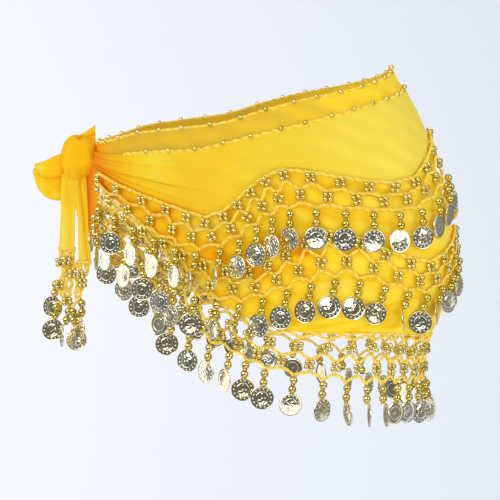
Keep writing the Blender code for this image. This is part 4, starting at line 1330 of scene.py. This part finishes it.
def face(thing, place, aim):
    """Put a lamp or camera at a place, its view towards the aim and its top up."""
    back = unit(place - aim)
    right = unit(np.cross(UP, back))
    rows = np.eye(4)
    rows[:3, 0], rows[:3, 1], rows[:3, 2], rows[:3, 3] = right, np.cross(back, right), back, place
    thing.matrix_world = Matrix(rows.tolist())


def make_camera():
    """A long lens, level with the scarf's middle and a little over it."""
    camera = bpy.data.objects.new("camera", bpy.data.cameras.new("camera"))
    camera.data.lens, camera.data.sensor_width = CAMERA_LENS, SENSOR_WIDTH
    bpy.context.scene.collection.objects.link(camera)
    face(camera, AIM + BACK * CAMERA_DISTANCE, AIM)
    bpy.context.scene.camera = camera


# lamps: place and aim as metres right of the scarf, away behind it and up, size, power, colour
LAMPS = {
    "key": ((-1.2, -1.6, 0.9), (0.0, 0.0, 0.0), (1.0, 0.8), 6.2, (1.0, 0.99, 0.97)),
    "fill": ((1.5, -1.2, 0.3), (0.0, 0.0, 0.0), (0.9, 1.2), 5.3, (0.98, 0.99, 1.0)),
    "bounce": ((0.0, -1.3, -0.7), (0.0, 0.0, 0.0), (1.8, 0.9), 10.5, (1.0, 0.99, 0.96)),
    "top": ((0.0, 0.2, 1.8), (0.0, 0.0, 0.0), (1.6, 1.2), 1.0, (1.0, 1.0, 1.0)),
    "wall": ((-1.7, 0.7, 0.6), (-0.9, 2.2, 0.0), (0.6, 1.4), 9.0, (1.0, 1.0, 1.0)),
}


def make_lamps():
    """Soft lamps that light matt surfaces. Polished ones mirror the room's own panels instead."""
    axes = np.array([RIGHT, AWAY, UP])
    for name, (place, aim, size, power, colour) in LAMPS.items():
        lamp = bpy.data.lights.new(name, "AREA")
        lamp.shape = "RECTANGLE"
        lamp.size, lamp.size_y = size
        lamp.energy, lamp.color = power, colour
        thing = bpy.data.objects.new(name, lamp)
        thing.visible_glossy = False
        bpy.context.scene.collection.objects.link(thing)
        face(thing, AIM + np.array(place) @ axes, AIM + np.array(aim) @ axes)


# what polished surfaces mirror: angle from the camera's side (plus to the right) and height of the
# direction, as ranges, then brightness
ROOM_PANELS = (
    ((-2.28, -1.64), (-0.50, 0.70), 1.3),
    ((1.60, 1.85), (-0.60, 0.80), 0.9),
    ((-1.15, -0.20), (0.24, 0.72), 5.0),
    ((0.60, 1.15), (0.03, 0.60), 2.6),
    ((-0.45, 0.95), (-0.66, -0.36), 1.5),
)
PANEL_EDGE = 0.02            # how soft a panel's edge is, to each side
ROOM_FRONT, ROOM_SIDES = (0.13, 0.13, 0.112), (0.24, 0.24, 0.23)
ROOM_CEILING, ROOM_FLOOR, DAYLIGHT = (0.7, 0.7, 0.7), (0.8, 0.8, 0.8), (0.86, 0.865, 0.88)


def make_room():
    """Even pale light for matt surfaces, and a dim room with bright panels for polished ones to mirror."""
    world = bpy.data.worlds.new("room")
    world.use_nodes = True
    bpy.context.scene.world = world
    nodes = Nodes(world.node_tree)
    direction = nodes.add("ShaderNodeTexCoord").outputs["Generated"]
    split = nodes.add("ShaderNodeSeparateXYZ")
    nodes.link(direction, split.inputs[0])
    height = split.outputs[2]

    def part_along(axis):
        node = nodes.add("ShaderNodeVectorMath", operation="DOT_PRODUCT")
        nodes.link(direction, node.inputs[0])
        node.inputs[1].default_value = tuple(axis)
        return node.outputs["Value"]

    def within(value, low, high):
        return nodes.math("MULTIPLY", nodes.band(value, low - PANEL_EDGE, low + PANEL_EDGE),
                          nodes.band(value, high - PANEL_EDGE, high + PANEL_EDGE, True))

    aside = nodes.math("ARCTAN2", part_along(RIGHT), part_along(-AWAY))
    colour = nodes.mix(nodes.band(nodes.math("ABSOLUTE", aside), 1.04, 1.12), ROOM_FRONT, ROOM_SIDES)
    colour = nodes.mix(nodes.band(height, 0.72, 0.86), colour, ROOM_CEILING)
    colour = nodes.mix(nodes.band(height, -0.68, -0.58, True), colour, ROOM_FLOOR)
    for angles, heights, bright in ROOM_PANELS:
        panel = nodes.math("MULTIPLY", within(aside, *angles), within(height, *heights))
        colour = nodes.mix(panel, colour, (bright, bright, 0.98 * bright))
    colour = nodes.mix(nodes.add("ShaderNodeLightPath").outputs["Is Glossy Ray"], DAYLIGHT, colour)
    nodes.link(colour, world.node_tree.nodes["Background"].inputs["Color"])


def main():
    bpy.context.scene.view_settings.view_transform = "Standard"
    spots = uneven_spots()
    chiffon, thread = cloth_material(spots), thread_material(spots)
    metal, coin_metal = bead_material(), coin_material(spots)
    make_cloth(chiffon)
    make_knot(chiffon)
    make_tip(chiffon)
    make_loop(chiffon)
    make_tails(chiffon)
    make_rows(thread, metal, coin_metal)
    make_tail_nets(thread, metal, coin_metal)
    make_trims(thread, metal)
    make_backdrop()
    make_camera()
    make_lamps()
    make_room()


main()
